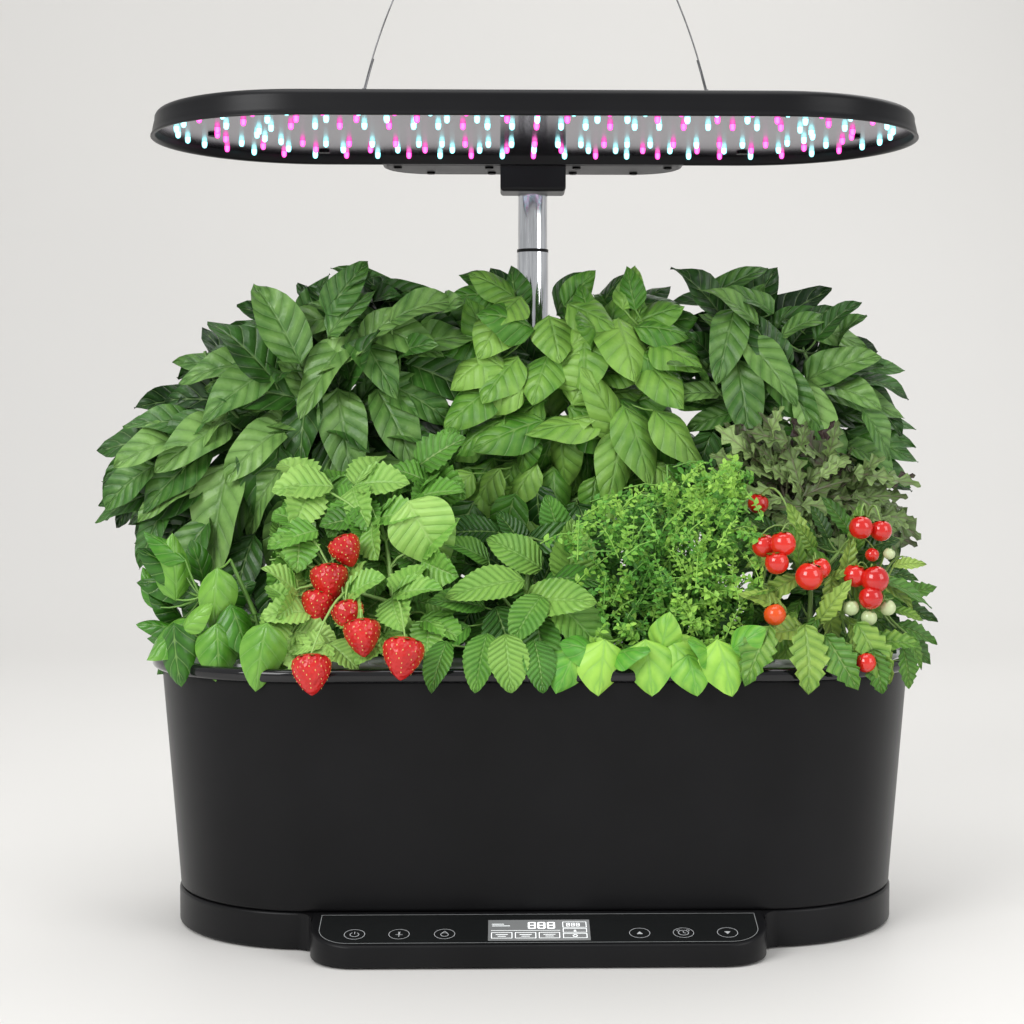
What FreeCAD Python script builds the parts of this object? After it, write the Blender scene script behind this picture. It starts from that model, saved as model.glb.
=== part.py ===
import FreeCAD, Part
import math
import os
from FreeCAD import Vector, Rotation, Placement
import Sketcher

# Countertop hydroponic garden: water tank on a low base with a control
# console in front, planting deck with fifteen pods, telescopic mast and lamp.
# X runs to the right, Y to the back, Z up; the origin is the centre of the
# tank's footprint at table level. Millimetres.

doc = FreeCAD.newDocument("garden")
os.makedirs("parts", exist_ok=True)

# Driving dimensions
SIZES = {
    "seat_gap": 0.05,
    "soft_gap": 0.3,
    # feet and base
    "foot_height": 1.0,
    "foot_radius": 9.0,
    "foot_x": 150.0,
    "foot_y": 52.0,
    "base_half": 122.8,
    "base_radius": 83.7,
    "base_top": 21.0,
    "base_wall": 2.5,
    "console_width": 244.0,
    "console_front": 121.6,
    "console_corner": 25.0,
    "console_tilt": 12.4,
    "rear_width": 56.0,
    "rear_end": 129.0,
    "cover_thick": 2.0,
    "cover_inset": 0.4,
    "boss_radius": 4.0,
    "boss_x": 112.0,
    "boss_y": 62.0,
    "screw_radius": 1.5,
    "screw_head": 2.8,
    "screw_head_height": 0.7,
    # console face
    "glass_width": 234.0,
    "glass_depth": 33.0,
    "glass_thick": 1.6,
    "glass_corner": 16.0,
    "glass_fit": 0.25,
    "glass_rear": 86.5,
    "board_thick": 1.6,
    "board_hole": 1.6,
    "touch_board_depth": 26.0,
    "touch_board_front": 114.0,
    "main_board_width": 70.0,
    "main_board_depth": 60.0,
    "main_board_front": 20.0,
    "main_board_drop": 6.0,
    "display_width": 62.0,
    "display_depth": 17.0,
    "display_thick": 3.0,
    # tank
    "tank_half": 121.0,
    "tank_foot_radius": 84.5,
    "tank_top_radius": 94.5,
    "tank_top": 147.0,
    "tank_wall": 2.5,
    "tank_floor": 3.0,
    # pump
    "pump_x": 122.0,
    "pump_y": 34.0,
    "pump_length": 44.0,
    "pump_width": 34.0,
    "pump_height": 36.0,
    "cup_height": 7.0,
    "cup_radius": 7.0,
    "riser_radius": 6.0,
    "riser_wall": 1.5,
    # deck and rim
    "rim_half": 122.8,
    "rim_radius": 98.2,
    "rim_height": 7.1,
    "rim_width": 7.0,
    "rim_ledge": 3.2,
    "rim_ledge_thick": 2.0,
    "deck_thick": 3.6,
    "deck_fit": 0.3,
    "pod_pitch_x": 75.0,
    "pod_pitch_y": 58.0,
    "pod_hole": 16.0,
    "basket_fit": 0.4,
    "basket_depth": 46.0,
    "basket_foot": 11.0,
    "basket_wall": 1.3,
    "basket_flange": 18.4,
    "basket_flange_thick": 1.4,
    "sponge_radius": 9.6,
    "sponge_height": 26.0,
    "collar_thick": 1.6,
    "collar_hole": 6.5,
    "port_x": 188.0,
    "port_radius": 10.0,
    "deck_rib": 7.0,
    "deck_rib_thick": 2.0,
    # mast
    "mast_y": 110.0,
    "mast_radius": 10.6,
    "mast_wall": 0.55,
    "slide_fit": 0.06,
    "mast_foot": 6.0,
    "lower_top": 336.0,
    "middle_top": 397.0,
    "middle_overlap": 122.0,
    "upper_overlap": 150.0,
    "bushing_height": 2.0,
    "socket_flange": 15.5,
    "socket_flange_height": 4.0,
    "socket_wall": 2.2,
    # lamp
    "lamp_half": 128.0,
    "lamp_radius": 92.0,
    "lamp_bottom": 447.8,
    "lamp_height": 14.7,
    "lamp_lip": 1.2,
    "lamp_lip_step": 0.9,
    "lamp_edge": 4.6,
    "lamp_wall": 3.0,
    "lamp_ledge": 4.5,
    "lamp_roof": 2.6,
    "panel_recess": 5.2,
    "panel_thick": 1.6,
    "panel_fit": 0.3,
    "led_size": 3.2,
    "led_height": 1.8,
    "led_inner_radius": 32.3,
    "led_middle_radius": 55.0,
    "led_outer_radius": 77.5,
    "panel_screw_radius": 3.4,
    "panel_screw_height": 1.4,
    "arm_width": 188.0,
    "arm_end": 135.0,
    "arm_corner": 30.0,
    "arm_wall": 2.5,
    "arm_cover_thick": 2.0,
    "head_width": 41.0,
    "head_depth": 27.0,
    "head_height": 15.8,
    "head_edge": 2.5,
    # hanging wires
    "hanger_x": 100.5,
    "hanger_height": 7.0,
    "hanger_width": 6.0,
    "hanger_thick": 3.0,
    "hanger_hole": 1.6,
    "wire_radius": 0.45,
    "wire_top": 546.0,
}

sheet = doc.addObject("Spreadsheet::Sheet", "sizes")
for row, (alias, value) in enumerate(SIZES.items(), start=1):
    sheet.set("A%d" % row, alias)
    sheet.set("B%d" % row, str(value))
    sheet.setAlias("B%d" % row, alias)
doc.recompute()


def size(alias):
    return float(getattr(sheet, alias))


# A name in an expression stands for its cell in the sheet.
def link(text):
    words = []
    word = ""
    for letter in text + " ":
        if letter.isalnum() or letter == "_":
            word += letter
        else:
            words.append("sizes." + word if word in SIZES else word)
            words.append(letter)
            word = ""
    return "".join(words).strip()


def bind(obj, prop, text):
    obj.setExpression(prop, link(text))


def body(label):
    new = doc.addObject("PartDesign::Body", label)
    new.Label = label
    return new


def origin_plane(owner, role):
    for feature in owner.Origin.OriginFeatures:
        if feature.Role == role:
            return feature


def sketch(owner, name, role="XY_Plane", x=None, y=None, z=None):
    new = owner.newObject("Sketcher::SketchObject", name)
    new.AttachmentSupport = [(origin_plane(owner, role), "")]
    new.MapMode = "FlatFace"
    for axis, text in (("x", x), ("y", y), ("z", z)):
        if text is not None:
            bind(new, "AttachmentOffset.Base." + axis, text)
    return new


def dimension(sk, kind, args, text, guess):
    index = sk.addConstraint(Sketcher.Constraint(kind, *args, guess))
    bind(sk, "Constraints[%d]" % index, text)


# Two half circles joined by straight sides.
def stadium(sk, half, radius):
    s, r = 120.0, 80.0
    g = len(sk.Geometry)
    z = Vector(0, 0, 1)
    sk.addGeometry(Part.LineSegment(Vector(-s, r, 0), Vector(s, r, 0)))
    sk.addGeometry(Part.ArcOfCircle(Part.Circle(Vector(s, 0, 0), z, r), -math.pi / 2, math.pi / 2))
    sk.addGeometry(Part.LineSegment(Vector(s, -r, 0), Vector(-s, -r, 0)))
    sk.addGeometry(Part.ArcOfCircle(Part.Circle(Vector(-s, 0, 0), z, r), math.pi / 2, 1.5 * math.pi))
    for a, b in (((g, 2), (g + 1, 2)), ((g + 1, 1), (g + 2, 1)), ((g + 2, 2), (g + 3, 2)), ((g + 3, 1), (g, 1))):
        sk.addConstraint(Sketcher.Constraint("Tangent", a[0], a[1], b[0], b[1]))
    sk.addConstraint(Sketcher.Constraint("Symmetric", g + 1, 3, g + 3, 3, -1, 1))
    sk.addConstraint(Sketcher.Constraint("PointOnObject", g + 1, 3, -1))
    sk.addConstraint(Sketcher.Constraint("Equal", g + 1, g + 3))
    dimension(sk, "DistanceX", (-1, 1, g + 1, 3), half, s)
    dimension(sk, "Radius", (g + 1,), radius, r)


# Rectangle between two corners given as expressions.
def rectangle(sk, x0, x1, y0, y1, guess):
    ax, bx, ay, by = guess
    g = len(sk.Geometry)
    corners = [Vector(ax, ay, 0), Vector(bx, ay, 0), Vector(bx, by, 0), Vector(ax, by, 0)]
    for i in range(4):
        sk.addGeometry(Part.LineSegment(corners[i], corners[(i + 1) % 4]))
    for i in range(4):
        sk.addConstraint(Sketcher.Constraint("Coincident", g + i, 2, g + (i + 1) % 4, 1))
    sk.addConstraint(Sketcher.Constraint("Horizontal", g))
    sk.addConstraint(Sketcher.Constraint("Horizontal", g + 2))
    sk.addConstraint(Sketcher.Constraint("Vertical", g + 1))
    sk.addConstraint(Sketcher.Constraint("Vertical", g + 3))
    dimension(sk, "DistanceX", (-1, 1, g, 1), x0, ax)
    dimension(sk, "DistanceX", (-1, 1, g + 1, 1), x1, bx)
    dimension(sk, "DistanceY", (-1, 1, g, 1), y0, ay)
    dimension(sk, "DistanceY", (-1, 1, g + 2, 1), y1, by)


# Rectangle whose two corners at the far side in Y are rounded.
def arched(sk, x0, x1, y0, y1, radius, guess, r):
    ax, bx, ay, by = guess
    z = Vector(0, 0, 1)
    sk.addGeometry(Part.LineSegment(Vector(ax, ay, 0), Vector(bx, ay, 0)))
    sk.addGeometry(Part.LineSegment(Vector(bx, ay, 0), Vector(bx, by - r, 0)))
    sk.addGeometry(Part.ArcOfCircle(Part.Circle(Vector(bx - r, by - r, 0), z, r), 0, math.pi / 2))
    sk.addGeometry(Part.LineSegment(Vector(bx - r, by, 0), Vector(ax + r, by, 0)))
    sk.addGeometry(Part.ArcOfCircle(Part.Circle(Vector(ax + r, by - r, 0), z, r), math.pi / 2, math.pi))
    sk.addGeometry(Part.LineSegment(Vector(ax, by - r, 0), Vector(ax, ay, 0)))
    sk.addConstraint(Sketcher.Constraint("Coincident", 0, 2, 1, 1))
    sk.addConstraint(Sketcher.Constraint("Coincident", 5, 2, 0, 1))
    for a, b in (((1, 2), (2, 1)), ((2, 2), (3, 1)), ((3, 2), (4, 1)), ((4, 2), (5, 1))):
        sk.addConstraint(Sketcher.Constraint("Tangent", a[0], a[1], b[0], b[1]))
    sk.addConstraint(Sketcher.Constraint("Horizontal", 0))
    sk.addConstraint(Sketcher.Constraint("Horizontal", 3))
    sk.addConstraint(Sketcher.Constraint("Vertical", 1))
    sk.addConstraint(Sketcher.Constraint("Vertical", 5))
    sk.addConstraint(Sketcher.Constraint("Equal", 2, 4))
    dimension(sk, "DistanceX", (-1, 1, 0, 1), x0, ax)
    dimension(sk, "DistanceX", (-1, 1, 0, 2), x1, bx)
    dimension(sk, "DistanceY", (-1, 1, 0, 1), y0, ay)
    dimension(sk, "DistanceY", (-1, 1, 3, 1), y1, by)
    dimension(sk, "Radius", (2,), radius, r)


def circle(sk, x, y, radius, guess=(10.0, 10.0, 3.0)):
    g = len(sk.Geometry)
    sk.addGeometry(Part.Circle(Vector(guess[0], guess[1], 0), Vector(0, 0, 1), guess[2]))
    dimension(sk, "DistanceX", (-1, 1, g, 3), x, guess[0])
    dimension(sk, "DistanceY", (-1, 1, g, 3), y, guess[1])
    dimension(sk, "Radius", (g,), radius, guess[2])


def extrude(owner, kind, profile, name, length, reverse=False, taper=None):
    new = owner.newObject("PartDesign::" + kind, name)
    new.Profile = profile
    new.Reversed = reverse
    bind(new, "Length", length)
    if taper is not None:
        bind(new, "TaperAngle", taper)
    profile.Visibility = False
    return new


def pad(owner, profile, name, length, reverse=False, taper=None):
    return extrude(owner, "Pad", profile, name, length, reverse, taper)


def pocket(owner, profile, name, length, reverse=False, taper=None):
    return extrude(owner, "Pocket", profile, name, length, reverse, taper)


def loft(owner, kind, profiles, name):
    new = owner.newObject("PartDesign::" + kind, name)
    new.Profile = profiles[0]
    new.Sections = profiles[1:]
    new.Ruled = True
    return new


def tube(label, outer, inner, length, x, y, z):
    out = doc.addObject("Part::Cylinder", label + "_outer")
    bind(out, "Radius", outer)
    bind(out, "Height", length)
    cut = doc.addObject("Part::Cylinder", label + "_bore")
    bind(cut, "Radius", inner)
    bind(cut, "Height", length + " + 2")
    cut.Placement.Base = Vector(0, 0, -1)
    new = doc.addObject("Part::Cut", label)
    new.Label = label
    new.Base = out
    new.Tool = cut
    for axis, text in (("x", x), ("y", y), ("z", z)):
        bind(new, "Placement.Base." + axis, text)
    return new


def feature(label, shape):
    new = doc.addObject("Part::Feature", label)
    new.Label = label
    new.Shape = shape
    return new


def edges_of(shape, test):
    return ["Edge%d" % (i + 1) for i, edge in enumerate(shape.Edges) if test(edge)]


# Base housing: a low stadium ring with the console in front and the mast
# socket's carrier behind, open underneath.
base = body("base_shell")
sk = sketch(base, "base_outline", z="foot_height")
stadium(sk, "base_half", "base_radius")
pad(base, sk, "base_block", "base_top - foot_height")
sk = sketch(base, "console_outline", z="foot_height")
rectangle(sk, "-console_width / 2", "console_width / 2", "-console_front", "-base_radius / 2", (-119, 119, -121, -40))
pad(base, sk, "console_block", "base_top - foot_height")
sk = sketch(base, "rear_outline", z="foot_height")
rectangle(sk, "-rear_width / 2", "rear_width / 2", "base_radius / 2", "rear_end", (-28, 28, 40, 129))
pad(base, sk, "rear_block", "base_top - foot_height")
doc.recompute()


def upright(edge, x, y):
    a, b = edge.Vertexes[0].Point, edge.Vertexes[-1].Point
    mid = (a + b) * 0.5
    return abs(a.x - b.x) < 0.01 and abs(a.y - b.y) < 0.01 and abs(abs(mid.x) - x) < 1.0 and abs(mid.y - y) < 1.0


def fillet(owner, base_feature, name, names, radius):
    new = owner.newObject("PartDesign::Fillet", name)
    new.Base = (base_feature, names)
    bind(new, "Radius", radius)
    return new


def bevel_edges(owner, base_feature, name, names, length):
    new = owner.newObject("PartDesign::Chamfer", name)
    new.Base = (base_feature, names)
    bind(new, "Size", length)
    return new


front = edges_of(base.Tip.Shape, lambda e: upright(e, size("console_width") / 2, -size("console_front")))
fillet(base, base.Tip, "console_corners", front, "console_corner")
doc.recompute()
back = edges_of(base.Tip.Shape, lambda e: upright(e, size("rear_width") / 2, size("rear_end")))
fillet(base, base.Tip, "rear_corners", back, "rear_width / 4")
doc.recompute()
neck_y = -size("base_radius")
neck = edges_of(base.Tip.Shape, lambda e: upright(e, size("console_width") / 2, neck_y))
if neck:
    fillet(base, base.Tip, "console_neck", neck, "console_corner / 3")
doc.recompute()

# The console slopes down to the front.
sk = sketch(base, "console_slope", role="YZ_Plane", x="-base_radius", y="base_top")
drop = (size("console_front") - size("base_radius") + 20) * math.tan(math.radians(size("console_tilt")))
run = size("console_front") - size("base_radius") + 20
points = [Vector(0, 0, 0), Vector(-run, -drop, 0), Vector(-run, 12, 0), Vector(0, 12, 0)]
for i in range(4):
    sk.addGeometry(Part.LineSegment(points[i], points[(i + 1) % 4]))
for i in range(4):
    sk.addConstraint(Sketcher.Constraint("Coincident", i, 2, (i + 1) % 4, 1))
sk.addConstraint(Sketcher.Constraint("Coincident", 0, 1, -1, 1))
sk.addConstraint(Sketcher.Constraint("Vertical", 1))
sk.addConstraint(Sketcher.Constraint("Horizontal", 2))
sk.addConstraint(Sketcher.Constraint("Vertical", 3))
dimension(sk, "DistanceX", (0, 2, 0, 1), "console_front - base_radius + 20", run)
dimension(sk, "DistanceY", (3, 2, 3, 1), "base_top - 9", 12)
index = sk.addConstraint(Sketcher.Constraint("Angle", -1, 1, 0, 1, math.radians(180 + size("console_tilt"))))
bind(sk, "Constraints[%d]" % index, "console_tilt + 180")
slope = pocket(base, sk, "console_top", "console_width + 20")
slope.Midplane = True
doc.recompute()

# Hollow under the top wall.
sk = sketch(base, "base_hollow", z="foot_height")
stadium(sk, "base_half", "base_radius - base_wall")
pocket(base, sk, "base_room", "base_top - foot_height - base_wall", reverse=True)
sk = sketch(base, "console_hollow", z="foot_height")
rectangle(
    sk,
    "-console_width / 2 + console_corner / 2",
    "console_width / 2 - console_corner / 2",
    "-console_front + console_corner / 4",
    "-base_radius / 2",
    (-106, 106, -115, -40),
)
pocket(base, sk, "console_room", "6", reverse=True)
sk = sketch(base, "rear_hollow", z="foot_height")
rectangle(
    sk,
    "-rear_width / 2 + rear_width / 8",
    "rear_width / 2 - rear_width / 8",
    "base_radius / 2",
    "rear_end - base_wall",
    (-21, 21, 40, 126),
)
pocket(base, sk, "rear_room", "base_top - foot_height - base_wall", reverse=True)
doc.recompute()

# Bosses that take the screws of the bottom cover.
sk = sketch(base, "bosses", z="foot_height + cover_thick")
for sx in ("-", ""):
    for sy in ("-", ""):
        circle(sk, sx + "boss_x", sy + "boss_y", "boss_radius", (112 if not sx else -112, 62 if not sy else -62, 4))
pad(base, sk, "cover_bosses", "base_top - foot_height - cover_thick - base_wall / 2")
sk = sketch(base, "boss_holes", z="foot_height")
for sx in ("-", ""):
    for sy in ("-", ""):
        circle(sk, sx + "boss_x", sy + "boss_y", "screw_radius + seat_gap", (112 if not sx else -112, 62 if not sy else -62, 2))
pocket(base, sk, "boss_bores", "base_top - foot_height - base_wall - 2", reverse=True)

# Opening for the mast socket and the power inlet in the rear wall.
sk = sketch(base, "socket_hole", z="base_top")
circle(sk, "0", "mast_y", "mast_radius + socket_wall + seat_gap", (0.0, 110.0, 12.0))
pocket(base, sk, "socket_bore", "base_wall + 1")
doc.recompute()

shell_top = size("base_top")
bevel = edges_of(
    base.Tip.Shape,
    lambda e: abs(e.BoundBox.ZMin - shell_top) < 0.01 and abs(e.BoundBox.ZMax - shell_top) < 0.01
    and (abs(e.BoundBox.XMax) > size("base_half") + 5 or abs(e.BoundBox.XMin) > size("base_half") + 5)
    and e.BoundBox.XLength > 20,
)
bevel_edges(base, base.Tip, "base_bevel", bevel, "base_wall * 0.6")
doc.recompute()

# Recess in the sloping console for the glass, as one tilted block.
glass_turn = Rotation(Vector(1, 0, 0), size("console_tilt"))


# Glass plate with its two front corners rounded, lying on the slope.
def console_plate(label, grow, thick, sink):
    new = body(label)
    sk = sketch(new, label + "_outline")
    half = "(glass_width / 2 + %s)" % grow
    rectangle(sk, "-" + half, half, "-glass_depth - " + grow, grow, (-114, 114, -33, 0.1))
    pad(new, sk, label + "_plate", thick)
    doc.recompute()
    low = size("glass_depth")
    names = edges_of(
        new.Tip.Shape,
        lambda e: e.BoundBox.ZLength > 0.5 and e.BoundBox.XLength < 0.01 and e.BoundBox.YMax < -low + 2,
    )
    fillet(new, new.Tip, label + "_corners", names, "glass_corner")
    new.Placement.Rotation = glass_turn
    bind(new, "Placement.Rotation.Angle", "console_tilt")
    bind(new, "Placement.Base.y", "-glass_rear")
    bind(new, "Placement.Base.z", "base_top - (glass_rear - base_radius) * tan(console_tilt) - (%s)" % sink)
    return new


glass_tool = console_plate("console_recess", "glass_fit", "glass_thick + 3", "glass_thick")
control_glass = console_plate("control_glass", "0", "glass_thick", "glass_thick - seat_gap")

window = doc.addObject("Part::Box", "display_window")
bind(window, "Length", "display_width + 2 * glass_fit")
bind(window, "Width", "display_depth + 8 * glass_fit")
bind(window, "Height", "20")
bind(window, "Placement.Base.x", "-display_width / 2 - glass_fit")
bind(window, "Placement.Base.y", "-glass_rear - (glass_depth * 0.6 - 3) * cos(console_tilt) - display_depth / 2 - 4 * glass_fit")
bind(window, "Placement.Base.z", "foot_height + 5")

socket_slot = doc.addObject("Part::Cylinder", "inlet_hole")
bind(socket_slot, "Radius", "5.6")
bind(socket_slot, "Height", "12")
socket_slot.Placement.Rotation = Rotation(Vector(1, 0, 0), -90)
bind(socket_slot, "Placement.Base.x", "0")
bind(socket_slot, "Placement.Base.y", "rear_end - 8")
bind(socket_slot, "Placement.Base.z", "foot_height + cover_thick + 7")

tools = doc.addObject("Part::MultiFuse", "housing_cuts")
tools.Shapes = [glass_tool, window, socket_slot]
base_housing = doc.addObject("Part::Cut", "base_housing")
base_housing.Label = "base_housing"
base_housing.Base = base
base_housing.Tool = tools

# Bottom cover, let into the housing's open underside, with slots for air.
base_cover = body("base_cover")
sk = sketch(base_cover, "cover_outline", z="foot_height")
stadium(sk, "base_half", "base_radius - base_wall - cover_inset")
pad(base_cover, sk, "cover_plate", "cover_thick")
sk = sketch(base_cover, "cover_wings", z="foot_height")
wing = "console_width / 2 - console_corner / 2 - cover_inset"
rectangle(sk, "-(%s)" % wing, wing, "-console_front + console_corner / 4 + cover_inset", "-base_radius / 2", (-106, 106, -115, -40))
pad(base_cover, sk, "console_cover", "cover_thick")
sk = sketch(base_cover, "cover_tail", z="foot_height")
tail = "rear_width / 2 - rear_width / 8 - cover_inset"
rectangle(sk, "-(%s)" % tail, tail, "base_radius / 2", "rear_end - base_wall - cover_inset", (-20, 20, 40, 126))
pad(base_cover, sk, "rear_cover", "cover_thick")
sk = sketch(base_cover, "cover_holes", z="foot_height")
for sx in ("-", ""):
    for sy in ("-", ""):
        circle(sk, sx + "boss_x", sy + "boss_y", "screw_radius + cover_inset", (112 if not sx else -112, 62 if not sy else -62, 2))
pocket(base_cover, sk, "cover_bores", "cover_thick", reverse=True)
sk = sketch(base_cover, "cover_vents", z="foot_height")
for k in (-4, -3, -2, 2, 3, 4):
    middle = "%d * base_half / 14" % k
    guess = (k * 9 - 2.5, k * 9 + 2.5, -20, 20)
    rectangle(sk, middle + " - base_wall", middle + " + base_wall", "-base_radius / 4", "base_radius / 4", guess)
pocket(base_cover, sk, "cover_slots", "cover_thick", reverse=True)
doc.recompute()


# Equal solids of one group, each placed at its own spot.
def group(label, shape, spots):
    copies = []
    for spot in spots:
        copy = shape.copy()
        copy.translate(Vector(*spot))
        copies.append(copy)
    return feature(label, Part.makeCompound(copies))


# Prism or cone frustum with flat sides, for small repeated pieces.
def facet_ring(radius, height, sides):
    step = 2 * math.pi / sides
    return [Vector(radius * math.cos(i * step), radius * math.sin(i * step), height) for i in range(sides)]


# Closed solid with flat faces through rings of points, capped at its ends or
# joined end to end.
def faceted(rings, closed=False):
    count = len(rings[0])
    faces = []
    pairs = list(zip(rings, rings[1:]))
    if closed:
        pairs.append((rings[-1], rings[0]))
    else:
        faces = [Part.Face(Part.makePolygon(ring + ring[:1])) for ring in (rings[0], rings[-1])]
    for low, high in pairs:
        for i in range(count):
            a, b, c, d = low[i], low[(i + 1) % count], high[(i + 1) % count], high[i]
            normal = (b - a).cross(c - a)
            if abs(normal.dot(d - a)) < 1e-6 * max(1.0, normal.Length):
                faces.append(Part.Face(Part.makePolygon([a, b, c, d, a])))
            else:
                faces.append(Part.Face(Part.makePolygon([a, b, c, a])))
                faces.append(Part.Face(Part.makePolygon([a, c, d, a])))
    shape = Part.makeSolid(Part.makeShell(faces))
    if shape.Volume < 0:
        shape.reverse()
    return shape


def facet_loft(rings, sides):
    return faceted([facet_ring(r, z, sides) for r, z in rings])


corners = [(sx, sy) for sx in (-1, 1) for sy in (-1, 1)]
gap = size("seat_gap")
soft = size("soft_gap")
foot_z = size("foot_height")

foot = facet_loft([(size("foot_radius") - 1.0, 0), (size("foot_radius"), foot_z - gap)], 16)
foot_spots = [(sx * size("foot_x"), sy * size("foot_y"), 0) for sx, sy in corners]
group("rubber_feet", foot, [(0, 0, 0)] + foot_spots)


# Screw pointing up: a shank and a flat round head below it.
def small_screw(shank, length, head, head_height):
    return facet_loft([(shank, 0), (shank, length)], 8).fuse(facet_loft([(head, -head_height), (head, 0)], 12))


screw = small_screw(size("screw_radius"), 9.0, size("screw_head"), size("screw_head_height"))
group("base_screws", screw, [(sx * size("boss_x"), sy * size("boss_y"), foot_z) for sx, sy in corners])

# Display, touch board and main board under the console glass.
tilt = glass_turn
glass_base_z = size("base_top") - (size("glass_rear") - size("base_radius")) * math.tan(math.radians(size("console_tilt")))


def on_slope(shape, x, along, depth):
    shape = shape.copy()
    shape.Placement = Placement(Vector(0, -size("glass_rear"), glass_base_z), tilt).multiply(Placement(Vector(x, -along, -depth), Rotation()))
    return shape


# Mast socket: a flanged sleeve dropped into the rear of the housing.
wall = size("socket_wall")
mast_r = size("mast_radius")
sleeve_depth = size("base_top") - foot_z - size("cover_thick") - 0.5
sleeve = Part.makeCylinder(mast_r + wall, sleeve_depth, Vector(0, 0, -sleeve_depth))
flange_h = size("socket_flange_height")
flange = Part.makeCylinder(size("socket_flange"), flange_h, Vector(0, 0, gap))
flange = flange.makeChamfer(1.2, [e for e in flange.Edges if e.BoundBox.ZMin > flange_h - 1])
socket = sleeve.fuse(flange).fuse(Part.makeCylinder(mast_r + wall, gap + 0.1))
bore = Part.makeCylinder(mast_r + gap, sleeve_depth + flange_h, Vector(0, 0, wall - sleeve_depth))
socket = socket.cut(bore).removeSplitter()
mast_socket = feature("mast_socket", socket)
bind(mast_socket, "Placement.Base.y", "mast_y")
bind(mast_socket, "Placement.Base.z", "base_top")

# Telescopic mast: each tube slides in the one below it.
tube("mast_lower", "mast_radius", "mast_radius - mast_wall", "lower_top - bushing_height - base_top + 12", "0", "mast_y", "base_top - 12")
tube("mast_middle", "mast_radius - mast_wall - slide_fit", "mast_radius - 2 * mast_wall - slide_fit", "middle_top - bushing_height - lower_top + middle_overlap", "0", "mast_y", "lower_top - middle_overlap")
tube("mast_upper", "mast_radius - 2 * mast_wall - 2 * slide_fit", "mast_radius - 3 * mast_wall - 2 * slide_fit", "lamp_bottom + lamp_height - lamp_roof - seat_gap - middle_top + upper_overlap", "0", "mast_y", "middle_top - upper_overlap")
tube("lower_bushing", "mast_radius", "mast_radius - mast_wall", "bushing_height - seat_gap", "0", "mast_y", "lower_top - bushing_height + seat_gap")
tube("middle_bushing", "mast_radius - mast_wall - slide_fit", "mast_radius - 2 * mast_wall - slide_fit", "bushing_height - seat_gap", "0", "mast_y", "middle_top - bushing_height + seat_gap")
doc.recompute()

# Tank: a tapered open tub with an even wall.
tank = body("tank_shell")
sk_low = sketch(tank, "tank_foot", z="base_top + seat_gap")
stadium(sk_low, "tank_half", "tank_foot_radius")
sk_high = sketch(tank, "tank_mouth", z="tank_top")
stadium(sk_high, "tank_half", "tank_top_radius")
loft(tank, "AdditiveLoft", [sk_low, sk_high], "tank_outside")
sk_in = sketch(tank, "tank_room_foot", z="base_top + seat_gap + tank_floor")
stadium(sk_in, "tank_half", "tank_foot_radius - tank_wall")
sk_out = sketch(tank, "tank_room_mouth", z="tank_top")
stadium(sk_out, "tank_half", "tank_top_radius - tank_wall")
loft(tank, "SubtractiveLoft", [sk_in, sk_out], "tank_inside")
doc.recompute()
# Low ribs on the tank floor that keep the pump in its corner.
sk = sketch(tank, "pump_rail", z="base_top + tank_floor")
rectangle(sk, "pump_x - pump_length / 2 - 5", "pump_x - pump_length / 2 - 3", "pump_y - pump_width / 2", "pump_y + pump_width / 2", (95, 97, 17, 51))
pad(tank, sk, "floor_rib", "8")
doc.recompute()

# Circulation pump on four suction cups, its filter and its riser pipe.
pl, pw, ph = size("pump_length"), size("pump_width"), size("pump_height")
floor_z = size("base_top") + gap + size("tank_floor")
cup_h = size("cup_height")
case = Part.makeBox(pl, pw, ph, Vector(-pl / 2, -pw / 2, 0))
case = case.makeFillet(5.0, [e for e in case.Edges if e.BoundBox.ZLength > ph - 1])
nozzle = Part.makeCylinder(size("riser_radius") - size("riser_wall") - gap, 9.0, Vector(pl / 5, 0, ph))
case = case.fuse(nozzle)
pump = feature("pump_body", case)
bind(pump, "Placement.Base.x", "pump_x")
bind(pump, "Placement.Base.y", "pump_y")
bind(pump, "Placement.Base.z", "base_top + seat_gap + tank_floor + cup_height + seat_gap")

grille = Part.makeBox(4.0, pw - 8, ph - 10, Vector(-pl / 2 - 4.0 - gap, 4 - pw / 2, 5))
for k in range(5):
    slot_z = 5 + (k + 0.75) * (ph - 10) / 5.5
    grille = grille.cut(Part.makeBox(2.5, pw - 12, 1.8, Vector(-pl / 2 - 4.6, 6 - pw / 2, slot_z)))
strainer = feature("pump_filter", grille)
bind(strainer, "Placement.Base.x", "pump_x")
bind(strainer, "Placement.Base.y", "pump_y")
bind(strainer, "Placement.Base.z", "base_top + seat_gap + tank_floor + cup_height + seat_gap")

cup = facet_loft([(size("cup_radius"), 0), (size("cup_radius") * 0.45, cup_h * 0.6), (size("cup_radius") * 0.45, cup_h - gap)], 10)
spots = [(size("pump_x") + sx * pl / 3, size("pump_y") + sy * pw / 3.4, floor_z + gap) for sx, sy in corners]
group("suction_cups", cup, spots)

riser_bottom = floor_z + gap + cup_h + gap + ph
deck_under = size("tank_top") + soft + size("rim_ledge_thick") + gap
riser_len = deck_under - size("deck_rib") - riser_bottom - 2.0
riser_out = size("riser_radius")
riser = Part.makeCylinder(riser_out, riser_len).cut(Part.makeCylinder(riser_out - size("riser_wall"), riser_len + 2, Vector(0, 0, -1)))
feature("pump_riser", riser).Placement.Base = Vector(size("pump_x") + pl / 5, size("pump_y"), riser_bottom + gap)

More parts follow.
